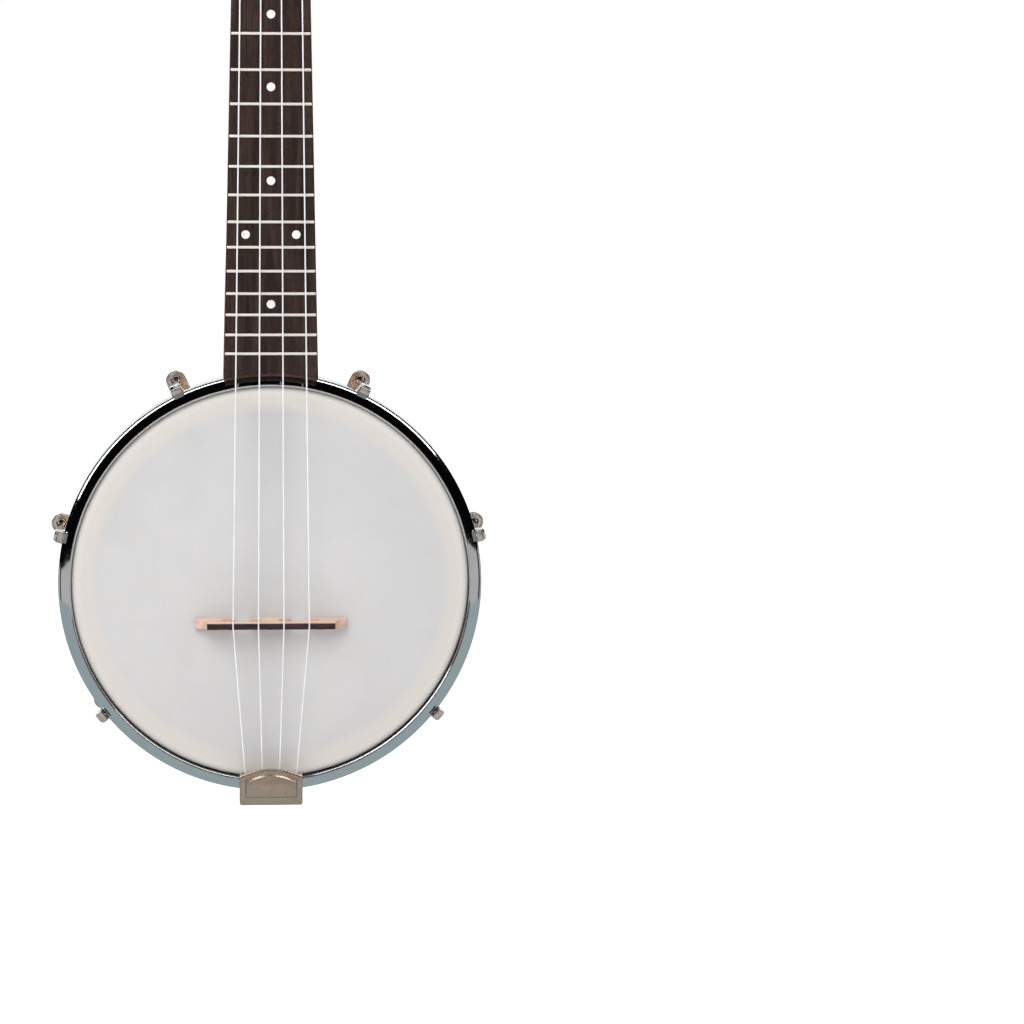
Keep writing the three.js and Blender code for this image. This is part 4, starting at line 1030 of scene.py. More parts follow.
@dataclass
class Pot:
    """Rim, drum head, flesh hoop and tension hoop."""

    rim_radius: float = 99.8
    rim_wall: float = 7.5
    rim_front: float = 0.7
    rim_back: float = 60.0
    bearing_rounding: float = 1.1
    edge_rounding: float = 0.7
    notch_half_width: float = 12.85
    notch_front: float = 41.7
    screw_hole: float = 2.1
    screw_depth: float = 46.6
    film: float = 0.4
    collar_depth: float = 8.6
    flesh_width: float = 2.6
    flesh_depth: float = 3.7
    lip_width: float = 1.5
    lip_bevel: Pair = (0.4, 0.48)
    hoop_wall: float = 4.9
    hoop_front: float = -3.0
    hoop_back: float = 11.0
    cone_drop: float = 2.9
    cone_steps: int = 14
    cone_tilt_degrees: Pair = (25.0, 55.0)
    hoop_edge: float = 0.7
    loop_front: float = 1.2
    loop_depth: float = 6.4
    loop_half_widths: Triple = (4.0, 3.1, 2.8)
    loop_wall: float = 1.1
    loop_rounding: float = 1.2
    loop_edge: float = 0.35
    roll_reach: Pair = (1.0, 0.6)
    flesh_rounding: float = 0.5
    hook_radius: float = 1.5
    overrun: float = 2.0
    segments: int = 240
    hook_count: int = 7

    @property
    def rim_inner(self) -> float:
        """The rim's inner radius."""
        return self.rim_radius - self.rim_wall

    @property
    def collar(self) -> float:
        """The film collar's outer radius."""
        return self.rim_radius + FIT + self.film

    @property
    def flesh_back(self) -> float:
        """How deep the flesh hoop reaches."""
        return self.collar_depth + FIT

    @property
    def skirt(self) -> float:
        """The tension hoop's inner radius behind its lip."""
        return self.collar + FIT + self.flesh_width + FIT

    @property
    def hoop_radius(self) -> float:
        """The tension hoop's outer radius."""
        return self.skirt + self.hoop_wall

    @property
    def hook_circle(self) -> float:
        """How far the hooks stand from the pot's axis."""
        return self.hoop_radius + FIT + self.hook_radius

    @property
    def tail(self) -> int:
        """The number of the tail's hook, counted from nought."""
        return (self.hook_count - 1) // 2

    def turn_to(self, index: int) -> Matrix:
        """Give the turn that brings a shape from the top of the pot to a hook's place."""
        return Matrix.Rotation(math.pi + 2 * math.pi * (index - self.tail) / self.hook_count, 4, "Y")

    def make_rim(self) -> None:
        """Turn the laminated rim, notch it for the dowel stick and bore it for the tail screw."""
        inner, outer, back, soft = self.rim_inner, self.rim_radius, self.rim_back, self.edge_rounding
        bearing = self.bearing_rounding
        profile = rounded(stepped(inner, self.rim_front, (outer, back)), [bearing, bearing, soft, soft])
        rim = as_piece(turned(profile, self.segments))
        half, reach = self.notch_half_width, self.overrun
        notch = block((-half, self.notch_front, 0), (half, back + reach, outer + reach))
        hole = bar(self.screw_hole, -outer - reach, -inner + reach, Axis.UPRIGHT)
        fitted(rim, Work.CUT, notch, moved(hole, y=self.screw_depth))
        finish_piece(rim, "laminated_rim", RIM_PLIES, ["rim"])

    def make_head(self) -> None:
        """Turn the film, rolled over the rim's bearing edge and down its side."""
        centre = self.rim_radius - self.bearing_rounding
        inner, film = self.bearing_rounding + FIT, self.film
        flesh = self.flesh_back - self.flesh_depth - FIT
        shoulder, edge = self.skirt - self.lip_width - FIT, self.collar
        waist, (start, control) = flesh - film, self.roll_reach
        roll = bezier((centre - start, 0), (shoulder - control, 0), (shoulder, waist / 2), steps=14)
        profile = [(0, 0), *roll]
        profile += bezier((shoulder, waist), (shoulder, flesh), (edge, flesh), steps=6)
        profile += [(edge, self.collar_depth), (edge - film, self.collar_depth), (edge - film, flesh - film)]
        profile += [(shoulder - film, waist), (shoulder - film, waist / 2 + film)]
        profile += [*arc((centre, inner + film), inner, 0, -1, 8), (0, film)]
        head = as_piece(turned(profile, self.segments))
        finish_piece(head, "frosted_head", FILM, ["drum_head"], smooth=50)

    def make_flesh_hoop(self) -> None:
        """Turn the ring that grips the film's edge."""
        inner = self.collar + FIT
        outer, back = inner + self.flesh_width, self.flesh_back
        profile = rounded(stepped(inner, back - self.flesh_depth, (outer, back)), self.flesh_rounding, 3)
        ring = as_piece(turned(profile, self.segments))
        finish_piece(ring, "flesh_ring", ALLOY, ["flesh_hoop"])

    def cone(self) -> list[Pair]:
        """Draw the hoop's conical face, which steepens towards its outer edge.

        Returns:
            The points of its profile.
        """
        steps = self.cone_steps
        start = self.skirt - self.lip_width + sum(self.lip_bevel)
        end = self.hoop_radius - self.hoop_edge
        low, high = self.cone_tilt_degrees
        shares = [((i + 0.5) / steps) ** 2 for i in range(steps)]
        slopes = [math.tan(math.radians(low + (high - low) * share)) for share in shares]
        scale = self.cone_drop / sum(slopes)
        points = [(start, self.hoop_front)]
        for i, slope in enumerate(slopes):
            radius = start + (end - start) * (i + 1) / steps
            points.append((radius, points[-1][1] + slope * scale))
        return points

    def make_hoop(self) -> None:
        """Turn the tension hoop and join its strap loops, each bored for a hook."""
        inner, outer, back = self.skirt - self.lip_width, self.hoop_radius, self.hoop_back
        steep, shallow = self.lip_bevel
        edge, seat = self.hoop_edge, self.flesh_back - self.flesh_depth - FIT
        width, top = steep + shallow, self.hoop_front
        bevel = bezier((inner, top + width), (inner + steep, top + steep), (inner + width, top))
        profile = [(inner, seat), *bevel, *self.cone()[1:]]
        profile += arc((outer - edge, self.hoop_front + self.cone_drop + edge), edge, -0.5, 0, 4)
        profile += [*arc((outer - edge, back - edge), edge, 0, 1, 4), (self.skirt, back), (self.skirt, seat)]
        hoop = as_piece(turned(profile, self.segments))
        loops, holes = [], []
        for i in range(self.hook_count):
            if i == self.tail:
                continue
            start, reach = self.loop_front - self.overrun, self.loop_depth + 2 * self.overrun
            hole = moved(bar(self.hook_radius + FIT, start, start + reach), z=self.hook_circle)
            for group, shape in ((loops, self.make_loop()), (holes, hole)):
                shape.transform(self.turn_to(i))
                group.append(shape)
        fitted(hoop, Work.JOIN, *loops)
        fitted(hoop, Work.CUT, *holes)
        finish_piece(hoop, "tension_hoop_with_loops", HOOP_CHROME, ["tension_hoop"], smooth=28)

    def make_loop(self) -> Shape:
        """Draw one strap loop above the hoop's side, with its edges broken.

        Returns:
            The loop, above the pot's centre.
        """
        wide, middle, narrow = self.loop_half_widths
        root, soft, front = self.hoop_radius, self.loop_rounding, self.loop_front
        top = self.hook_circle + self.hook_radius + FIT + self.loop_wall
        side = [(wide, self.skirt + self.hoop_wall / 2)]
        side += bezier((wide, root), (middle, root), (middle, root + soft))
        side += bezier((narrow, top - soft), (narrow, top), (narrow - soft, top))
        outline = side + [(-x, z) for x, z in reversed(side)]
        loop = as_piece(prism(outline, front, front + self.loop_depth))
        return shape_of(eased(loop, self.loop_edge, 3))

    def build(self) -> None:
        """Make the pot's pieces."""
        self.make_rim()
        self.make_head()
        self.make_flesh_hoop()
        self.make_hoop()


@dataclass
class RimHardware:
    """Hooks, their nuts and the pressed brackets that clip over the rim."""

    pot: Pot
    tail_seat: float = -4.5
    head_size: Triple = (5.9, 3.3, 3.0)
    head_rounding: float = 0.7
    head_edge_share: float = 0.7
    thread_length: float = 15
    thread_pitch: float = 0.7
    thread_depth: float = 0.2
    bracket_half_width: float = 8.5
    sheet: float = 1.3
    bracket_depth: float = 18
    bend: float = 1.8
    shield_rounding: float = 7.0
    window_half_width: float = 5.65
    window_round_share: float = 0.98
    window_inset: float = 2.4
    bracket_edge: float = 0.5
    ear_edge: float = 0.25
    screw_edge: float = 0.2
    ear_half_width: float = 5.2
    ear_setback: float = 12
    boss: Triple = (4.4, 3.8, 0.8)
    boss_foot_share: float = 0.2
    boss_face: float = 0.5
    lip: Pair = (1.1, 1.0)
    rolled_edge: Pair = (1.1, 0.9)
    roll_rounding: float = 0.5
    roll_clearance: float = 0.3
    nut_flange: Pair = (3.6, 1.8)
    nut_neck: Pair = (2.6, 5.4)
    nut_socket: Pair = (2.3, 3.6)
    nut_roundings: tuple[float, ...] = (0.1, 0.3, 0.1, 0.3, 0.7, 0.1)
    shade_margin: Pair = (0.05, 0.15)

    @property
    def ear_back(self) -> float:
        """The depth of the ear's back face."""
        return self.pot.rim_back - self.ear_setback

    @property
    def nut_back(self) -> float:
        """The depth of the nut's back end."""
        return self.ear_back + self.boss[2] + FIT + self.nut_flange[1]

    @property
    def hook_end(self) -> float:
        """The depth of the hook's threaded end, inside the nut."""
        return self.nut_back - self.nut_socket[1]

    def make_hook(self, seat: float) -> Piece:
        """Draw a hook with its block head, its shank and the thread on its end.

        Args:
            seat: The depth of the face that the head bears on.

        Returns:
            The hook, above the pot's centre.
        """
        length, width, depth = self.head_size
        front, back = seat - FIT - depth, seat - FIT
        outline = rounded(rectangle(length / 2, -width / 2, width / 2), self.head_rounding, 4)
        head = as_piece(prism(outline, front, back))
        eased(head, self.head_rounding * self.head_edge_share, 4)
        radius, end = self.pot.hook_radius, self.hook_end
        profile = [(0, front + depth / 2), (radius, front + depth / 2)]
        depth_now = end - self.thread_length
        while depth_now < end - self.thread_pitch:
            profile += [(radius, depth_now), (radius - self.thread_depth, depth_now + self.thread_pitch / 2)]
            depth_now += self.thread_pitch
        profile += [(radius, depth_now), (radius - self.thread_depth, end), (0, end)]
        fitted(head, Work.JOIN, turned(profile, 24))
        return shifted(head, z=self.pot.hook_circle)

    def make_nut(self) -> Piece:
        """Turn a hook nut with its flange and its hexagon socket.

        Returns:
            The nut, above the pot's centre.
        """
        bore = self.pot.hook_radius + FIT
        flange, flange_depth = self.nut_flange
        neck, neck_depth = self.nut_neck
        seat = self.nut_back - flange_depth
        profile = stepped(bore, seat - neck_depth, (neck, seat), (flange, self.nut_back))
        nut = as_piece(turned(rounded(profile, self.nut_roundings, 4), 48))
        socket = bar(self.nut_socket[0], self.hook_end, self.nut_back + self.pot.overrun, segments=6)
        return shifted(fitted(nut, Work.CUT, socket), z=self.pot.hook_circle)

    def paint_socket_shade(self, ring: Piece) -> None:
        """Paint the nuts' bores and sockets near-black, as painted shade.

        Args:
            ring: All the nuts, in one piece.
        """
        pot, (aside, behind) = self.pot, self.shade_margin
        axes = [pot.turn_to(i) @ Vector((0, 0, pot.hook_circle)) for i in range(pot.hook_count)]
        # Faces in the nuts' bores and sockets, within this radius of an axis, get the painted shade.
        bare, deepest = self.nut_socket[0] - aside, self.nut_back - behind

        def in_socket_shade(face: bpy.types.MeshPolygon) -> bool:
            """Tell whether a face lies in a nut's bore or socket."""
            near = min((face.center - axis).xz.length for axis in axes) < bare
            return near and face.center.y < deepest

        dress_by_face(ring, NICKEL, SOCKET_SHADE, in_socket_shade)

    def make_bracket(self, screw_hole: bool) -> Piece:
        """Press one bracket: a strap over the rim's back edge, a window, and an ear bent out of it.

        Args:
            screw_hole: Whether the inner leg is bored for the tail screw.

        Returns:
            The bracket, above the pot's centre.
        """
        pot, half, sheet = self.pot, self.bracket_half_width, self.sheet
        inside = math.sqrt(pot.rim_inner**2 - half**2) - FIT
        outside = pot.rim_radius + FIT
        inner, outer = inside - sheet, outside + sheet
        back, end = pot.rim_back + FIT + sheet, pot.rim_back - self.bracket_depth
        tight = self.bend - sheet
        profile = [(end, inner), (back, inner), (back, outer), (end, outer)]
        profile += [(end, outside), (back - sheet, outside), (back - sheet, inside), (end, inside)]
        profile = rounded(profile, [0, self.bend, self.bend, 0, 0, tight, tight, 0], 6)
        bracket = as_piece(prism(profile, -half, half, Lie.SIDE_ON))
        reach, shield, window = pot.overrun, self.shield_rounding, self.window_half_width
        outline = rounded(rectangle(half, end, back + reach), [shield, shield, 0, 0], 10)
        fitted(bracket, Work.TRIM, prism(outline, inner - reach, outer + reach, Lie.END_ON))
        soft = window * self.window_round_share
        outline = rectangle(window, inside + self.window_inset, outer + reach)
        outline = rounded(outline, [soft, soft, 0, 0], 10)
        fitted(bracket, Work.CUT, prism(outline, self.ear_back, back + reach))
        eased(bracket, self.bracket_edge, 4, 40)
        fitted(bracket, Work.JOIN, self.ear_shape(outside + sheet / 2))
        circle, seat = pot.hook_circle, self.ear_back
        wide, narrow, rise = self.boss
        foot, top = seat + rise * self.boss_foot_share, seat + rise
        cap = [(0, seat - sheet / 2), (wide, seat - sheet / 2), (wide, seat)]
        cap += bezier((wide, seat), (narrow, foot), (narrow, top), steps=4)
        cap += [(narrow - self.boss_face, top), (0, top)]
        fitted(bracket, Work.JOIN, moved(turned(cap, 48), z=circle))
        hole = bar(self.nut_neck[0] + FIT, seat - sheet - reach, top + reach, segments=48)
        holes = [moved(hole, z=circle)]
        if screw_hole:
            hole = bar(pot.screw_hole, inner - reach, inside + reach, Axis.UPRIGHT)
            holes.append(moved(hole, y=pot.screw_depth))
        return fitted(bracket, Work.CUT, *holes)

    def ear_shape(self, root: float) -> Shape:
        """Draw the ear with its two turned-up lips, which rise towards the fold.

        Args:
            root: How far from the pot's axis the ear starts.

        Returns:
            The ear, above the pot's centre.
        """
        half, circle = self.ear_half_width, self.pot.hook_circle
        front, back = self.ear_back - self.sheet, self.ear_back
        outline = [(half, root), *arc((0, circle), half, 0, 2, 20), (-half, root)]
        ear = as_piece(prism(outline, front, back))
        eased(ear, self.ear_edge, 2, 40)
        height, width = self.lip
        middle, crest = back - self.sheet / 2, front - height
        lip = [(middle, root), (middle, circle)]
        lip += bezier((front, circle), (crest, circle - half / 2), (crest, root), steps=8)
        for side in (-1, 1):
            low, high = sorted((side * half, side * (half - width)))
            fitted(ear, Work.JOIN, prism(lip, low, high, Lie.SIDE_ON))
        wide, rise = self.rolled_edge
        inner, low, high, soft = half - wide, front - rise, back - self.roll_clearance, self.roll_rounding
        roll = rounded(stepped(inner, low, (half, high)), [soft, soft, 0, 0], 5)
        return shape_of(fitted(ear, Work.JOIN, moved(turned(roll, 64), z=circle)))

    def build(self) -> None:
        """Make one of each piece, set them round the pot, and make the tail's own apart."""
        pattern = round_pattern()
        pot, tail = self.pot, self.pot.tail
        kinds = {
            "bracket": (self.make_bracket(False), tail),
            "hook": (self.make_hook(pot.loop_front), tail),
            "hook_nut": (self.make_nut(), -1),
        }
        for kind, (sample, skip) in kinds.items():
            ring = pattern.run(Piece=sample, Count=pot.hook_count, Skip=skip, Finish=NICKEL.material())
            nodes = [f"{kind}_{i + 1}" for i in range(pot.hook_count) if i != skip]
            if kind == "hook_nut":
                self.paint_socket_shade(ring)
            finish_piece(ring, f"{kind}s", NICKEL, nodes, smooth=30)
            bpy.data.objects.remove(sample)
        down = Matrix.Rotation(math.pi, 4, "Y")
        for kind, piece in (("bracket", self.make_bracket(True)), ("hook", self.make_hook(self.tail_seat))):
            piece.data.transform(down)
            finish_piece(piece, f"tail_{kind}", NICKEL, [f"{kind}_{tail + 1}"], smooth=30)
        screw = eased(copied("tail_screw"), self.screw_edge)
        finish_piece(screw, "countersunk_tail_screw", NICKEL, ["tail_screw"])


@dataclass(frozen=True)
class PostPlace:
    """Where a string's post stands on the headstock."""

    note: str
    side: int
    across: float
    height: float


@dataclass
class Neck:
    """Neck with heel and headstock, fretboard, frets, dots and string nut."""

    pot: Pot
    board_gap: float = 0.4
    board_face: float = -7.1
    board_thickness: float = 5.5
    end_width: float = 48
    nut_width: float = 36
    twelfth_rise: float = 64.6
    scale: float = 431.8
    fret_count: int = 17
    fret_width: float = 1.4
    fret_height: float = 1.0
    fret_inset: float = 0.8
    fret_end_shares: tuple[Pair, ...] = ((-0.5, 0.45), (-0.498, 0.75), (-0.494, 0.93), (-0.487, 1.0))
    fret_flank: Pair = (0.3, 0.4)
    board_edge: float = 0.35
    dot_radius: float = 2.2
    dot_gap: float = 0.04
    dot_sink: float = 0.6
    dot_crown: Pair = (0.05, 0.04)
    dot_slope: float = 0.4
    dot_spread: float = 12.8
    single_dots: tuple[int, ...] = (5, 7, 10, 15)
    double_dots: tuple[int, ...] = (12,)
    depth_at_nut: float = 16.5
    depth_at_heel: float = 19.3
    heel_back: float = 41.7
    heel_rise: float = 75.4
    shoulder_rise: float = 41.4
    squareness: float = 5
    steps: int = 40
    nut_length: float = 5
    tilt: float = math.radians(12)
    stock_length: float = 160
    stock_thickness: float = 14
    stock_half_width: float = 33.5
    stock_slant: float = 14
    stock_edge: float = 1.0
    stock_waist_share: float = 0.93
    stock_crown_share: float = 0.5
    stock_rises: tuple[float, ...] = (0.06, 0.14, 0.27, 0.55, 0.84, 0.95, 0.94)
    nut_edge: float = 0.2
    volute: tuple[float, ...] = (16, 10.3, 0.96, 6)
    post_offset: float = 19.5
    post_heights: Pair = (48, 96)
    bushing_hole: float = 4.3

    @property
    def board_end(self) -> float:
        """The radius of the board's end, which follows the hoop."""
        return self.pot.hoop_radius + self.board_gap

    @property
    def front(self) -> float:
        """The depth of the neck's flat front."""
        return self.board_face + self.board_thickness + FIT

    @property
    def heel_places(self) -> Pair:
        """The heights at which the heel starts to swell and is full."""
        return self.pot.hoop_radius + self.heel_rise, self.pot.hoop_radius + self.shoulder_rise

    @property
    def nut_height(self) -> float:
        """The height of the string nut's playing edge."""
        return self.board_end + self.twelfth_rise + self.scale / 2

    @property
    def stock_foot(self) -> float:
        """The height at which the headstock starts."""
        return self.nut_height + self.nut_length

    @property
    def stock_place(self) -> Matrix:
        """The headstock's own frame, whose third axis runs up its tilted face."""
        return Matrix.Translation((0, self.front, self.stock_foot)) @ Matrix.Rotation(-self.tilt, 4, "X")

    def posts(self) -> list[PostPlace]:
        """List the places of the four posts, in the order of the strings."""
        rows = zip(NOTES, (-1, -1, 1, 1), (*self.post_heights, *self.post_heights[::-1]))
        return [PostPlace(note, side, side * self.post_offset, height) for note, side, height in rows]

    def half_width(self, height: float) -> float:
        """Half the board's width at a height."""
        share = (height - self.board_end) / (self.nut_height - self.board_end)
        return (self.end_width + (self.nut_width - self.end_width) * share) / 2

    def fret_at(self, number: float) -> float:
        """The height of a fret, by the rule of equal temperament."""
        return self.nut_height - self.scale * (1 - 2 ** (-number / 12))

    def sweep(self, height: float) -> float:
        """Tell how far the neck has swept into the heel.

        Args:
            height: The height.

        Returns:
            The share, from 0 to 1.
        """
        top, shoulder = self.heel_places
        share = min(max((top - height) / (top - shoulder), 0), 1)
        return share * share * (3 - 2 * share)

    def depth(self, height: float) -> float:
        """Tell how deep the neck is.

        Args:
            height: The height.

        Returns:
            Its depth there.
        """
        top = self.heel_places[0]
        along = min(max((height - top) / (self.nut_height - top), 0), 1)
        shaft = self.depth_at_heel + (self.depth_at_nut - self.depth_at_heel) * along
        return shaft + (self.heel_back - self.front - shaft) * self.sweep(height)

    def section(self, height: float, half: float, front: float, depth: float, square: float) -> list[Vector]:
        """Draw one section of the neck, flat to the front and round or square to the back.

        Args:
            height: Its height.
            half: Half its width.
            front: The depth of its flat side.
            depth: How far it reaches behind that.
            square: Its squareness, 2 for round.

        Returns:
            Its points.
        """
        points = []
        for i in range(self.steps + 1):
            angle = math.pi * i / self.steps
            cosine, sine = math.cos(angle), math.sin(angle)
            across = math.copysign(abs(cosine) ** (2 / square), cosine)
            down = abs(sine) ** (2 / square) if 0 < i < self.steps else 0
            points.append(Vector((half * across, front + depth * down, height)))
        return points

    def stock_outline(self) -> list[Pair]:
        """Draw the headstock's outline in its own frame.

        Returns:
            The outline.
        """
        half, foot, length = self.stock_half_width, self.nut_width / 2, self.stock_length
        waist, peak = half * self.stock_waist_share, half * self.stock_crown_share
        start, flare, narrow, cheek, wide, brow, crown = (length * share for share in self.stock_rises)
        side = [(foot, -self.nut_length)]
        side += bezier((foot, start), (foot, flare), (waist, flare), (waist, narrow))
        side += bezier((waist, narrow), (waist, cheek), (half, wide))[1:]
        side += bezier((half, wide), (half, brow), (peak, crown), (0, length), steps=20)[1:]
        return side + [(-x, z) for x, z in reversed(side[:-1])]

    def make_neck(self) -> None:
        """Carve the neck, its heel and its headstock from one piece."""
        pot, front = self.pot, self.front
        top, shoulder = self.heel_places
        heights = [pot.rim_inner, (pot.rim_inner + shoulder) / 2]
        heights += [shoulder + (top - shoulder) * i / 20 for i in range(21)]
        length, depth, share, end_square = self.volute
        blend = self.nut_height - length
        heights += [top + (blend - top) * i / 8 for i in range(1, 9)]
        heights += [blend + (self.stock_foot - blend) * i / 6 for i in range(1, 7)]
        rings = []
        for height in heights:
            square = 2 + (self.squareness - 2) * self.sweep(height)
            square += (end_square - 2) / 2 * max(height - blend, 0) / length
            half = self.half_width(min(height, self.nut_height))
            rings.append(self.section(height, half, front, self.depth(height), square))
        setback = length * math.tan(self.tilt) + self.stock_thickness / 4
        half = self.nut_width / 2 * share
        rings.append(self.section(self.stock_foot + length, half, front + setback, depth, end_square))
        neck = as_piece(lofted(rings))
        slab = prism(self.stock_outline(), 0, self.stock_thickness)
        for vert in slab.verts:
            if vert.co.z < 0:
                vert.co.z += self.stock_slant * vert.co.y / self.stock_thickness
        head = shape_of(eased(as_piece(slab), self.stock_edge, 3))
        head.transform(self.stock_place)
        fitted(neck, Work.JOIN, head)
        width, reach, gap = self.nut_width, pot.overrun, self.board_gap
        low = (-width, front - self.stock_thickness, self.nut_height - self.nut_length)
        fitted(neck, Work.CUT, block(low, (width, front, self.stock_foot)))
        for radius, start, end in (
            (self.board_end, front - reach, pot.hoop_back + gap),
            (pot.rim_radius + FIT, front, self.heel_back + reach),
        ):
            fitted(neck, Work.CUT, bar(radius, start, end, segments=pot.segments))
        holes = []
        for post in self.posts():
            hole = bar(self.bushing_hole, -reach, self.stock_thickness + reach, segments=40)
            moved(hole, post.across, 0, post.height).transform(self.stock_place)
            holes.append(hole)
        fitted(neck, Work.CUT, *holes)
        finish_piece(neck, "carved_neck", NECK_WOOD, ["neck"], smooth=30)

    def make_board(self) -> None:
        """Plane the fretboard, its end hollowed to the hoop, and sink its dots."""
        end, high, face = self.board_end, self.nut_height - FIT, self.board_face
        half = self.half_width(end - 3)
        spread = math.asin(half / end)
        turns = [-spread + 2 * spread * i / 24 for i in range(25)]
        outline = [(end * math.sin(t), end * math.cos(t)) for t in turns]
        outline += [(self.half_width(high), high), (-self.half_width(high), high)]
        board = as_piece(prism(outline, face, face + self.board_thickness))
        eased(board, self.board_edge, 2, 40)
        sockets = []
        for x, z in self.dot_places():
            sockets.append(moved(bar(self.dot_radius, face - 1, face + self.dot_sink, segments=40), x, 0, z))
        fitted(board, Work.CUT, *sockets)
        finish_piece(board, "rosy_fretboard", FRETBOARD_WOOD, ["fretboard"])

    def dot_places(self) -> list[Pair]:
        """List where the dots lie.

        Returns:
            Each dot's place across and along the board.
        """
        places = []
        for number in self.single_dots + self.double_dots:
            height = (self.fret_at(number) + self.fret_at(number - 1)) / 2
            spread = (-self.dot_spread, self.dot_spread) if number in self.double_dots else (0.0,)
            places += [(x, height) for x in spread]
        return places

    def make_dots(self) -> None:
        """Turn the dots, each a shallow dome level with the board."""
        dots = []
        radius, face = self.dot_radius - self.dot_gap, self.board_face
        (peak, brow), foot = self.dot_crown, face + self.dot_sink
        profile = [(0, face - peak), (radius - self.dot_slope, face - brow), (radius, face)]
        profile += [(radius, foot), (0, foot)]
        for x, z in self.dot_places():
            dots.append(moved(turned(profile, 40), x, 0, z))
        finish_piece(as_piece(together(*dots)), "position_dots", SHELL)

    def make_frets(self) -> None:
        """Lay the frets, each a crowned bar with rounded ends."""
        half, high, (flank, foot) = self.fret_width / 2, self.fret_height, self.fret_flank
        left = bezier((-flank, -half), (-high * 0.9, -half * 0.95), (-high, -half * 0.7), (-high, 0), steps=8)
        crown = [(foot, -half), *left, *[(depth, -z) for depth, z in reversed(left[:-1])], (foot, half)]
        ends = self.fret_end_shares
        rings = []
        for x, share in [*ends, *[(-x, share) for x, share in reversed(ends)]]:
            rings.append([Vector((x, foot + (depth - foot) * share, z * share)) for depth, z in crown])
        sample = as_piece(lofted(rings))
        frets = fret_pattern().run(
            Bar=sample, Count=self.fret_count, Scale=float(self.scale), Nut_height=self.nut_height,
            End_height=self.board_end, Nut_width=float(self.nut_width), End_width=float(self.end_width),
            Face=self.board_face, Inset=self.fret_inset, Finish=FRET_METAL_AND_SHEEN.material(),
        )
        bpy.data.objects.remove(sample)
        finish_piece(frets, "frets", FRET_METAL_AND_SHEEN, smooth=40)

    def build(self) -> None:
        """Make the neck's pieces."""
        self.make_neck()
        self.make_board()
        self.make_dots()
        self.make_frets()
        finish_piece(eased(copied("string_nut"), self.nut_edge), "slotted_nut", BONE, ["string_nut"])


@dataclass
class DowelStick:
    """The stick through the pot, with the half-round pocket in its tail."""

    pot: Pot
    half_width: float = 12.25
    front: float = 42
    back: float = 62.2
    reach: float = 39.2
    tail_gap: float = 2.3
    end_rounding: float = 7
    edge: float = 1.0
    pocket_radius: float = 6.1
    pocket_depth: float = 10
    splinters: Pair = (0.7, 0.7)
    face_margin: float = 0.01

    def build(self) -> None:
        """Make the stick, cut its pocket and dress the pocket in darker torn wood, partly painted shade."""
        pot, soft = self.pot, self.end_rounding
        low, high = self.tail_gap - pot.rim_inner, pot.hoop_radius + self.reach
        outline = rounded(rectangle(self.half_width, low, high), [0, 0, soft, soft], 10)
        stick = as_piece(prism(outline, self.front, self.back))
        eased(stick, self.edge, 4)
        floor, radius = self.back - self.pocket_depth, self.pocket_radius
        wall = [(radius, floor + i) for i in range(round(self.pocket_depth) + 3)]
        disc = [(radius * i / 6, floor) for i in range(6)]
        pocket = turned([*disc, *wall, (0, wall[-1][1])], 48)
        shifts = (Vector((0, 0, 0)), Vector((31, 0, 0)), Vector((0, 47, 0)))
        for vert in pocket.verts:
            place = vert.co * self.splinters[0]
            vert.co += Vector([noise.noise(place + shift) for shift in shifts]) * self.splinters[1]
        fitted(stick, Work.CUT, moved(pocket, z=low))
        rough, top = self.splinters[1], self.back - self.face_margin

        def is_torn_and_shaded(face: bpy.types.MeshPolygon) -> bool:
            """Tell whether a face lies in the pocket."""
            near = (face.center.xz - Vector((0, low))).length < radius + rough
            return near and floor - rough < face.center.y < top and face.normal.z > -0.99

        # The pocket gets the darker wood: partly real torn end grain, partly painted shade.
        dress_by_face(stick, DOWEL_WOOD, TORN_WOOD_AND_SHADE, is_torn_and_shaded)
        finish_piece(stick, "dowel_stick_with_pocket", DOWEL_WOOD, ["dowel_stick"])


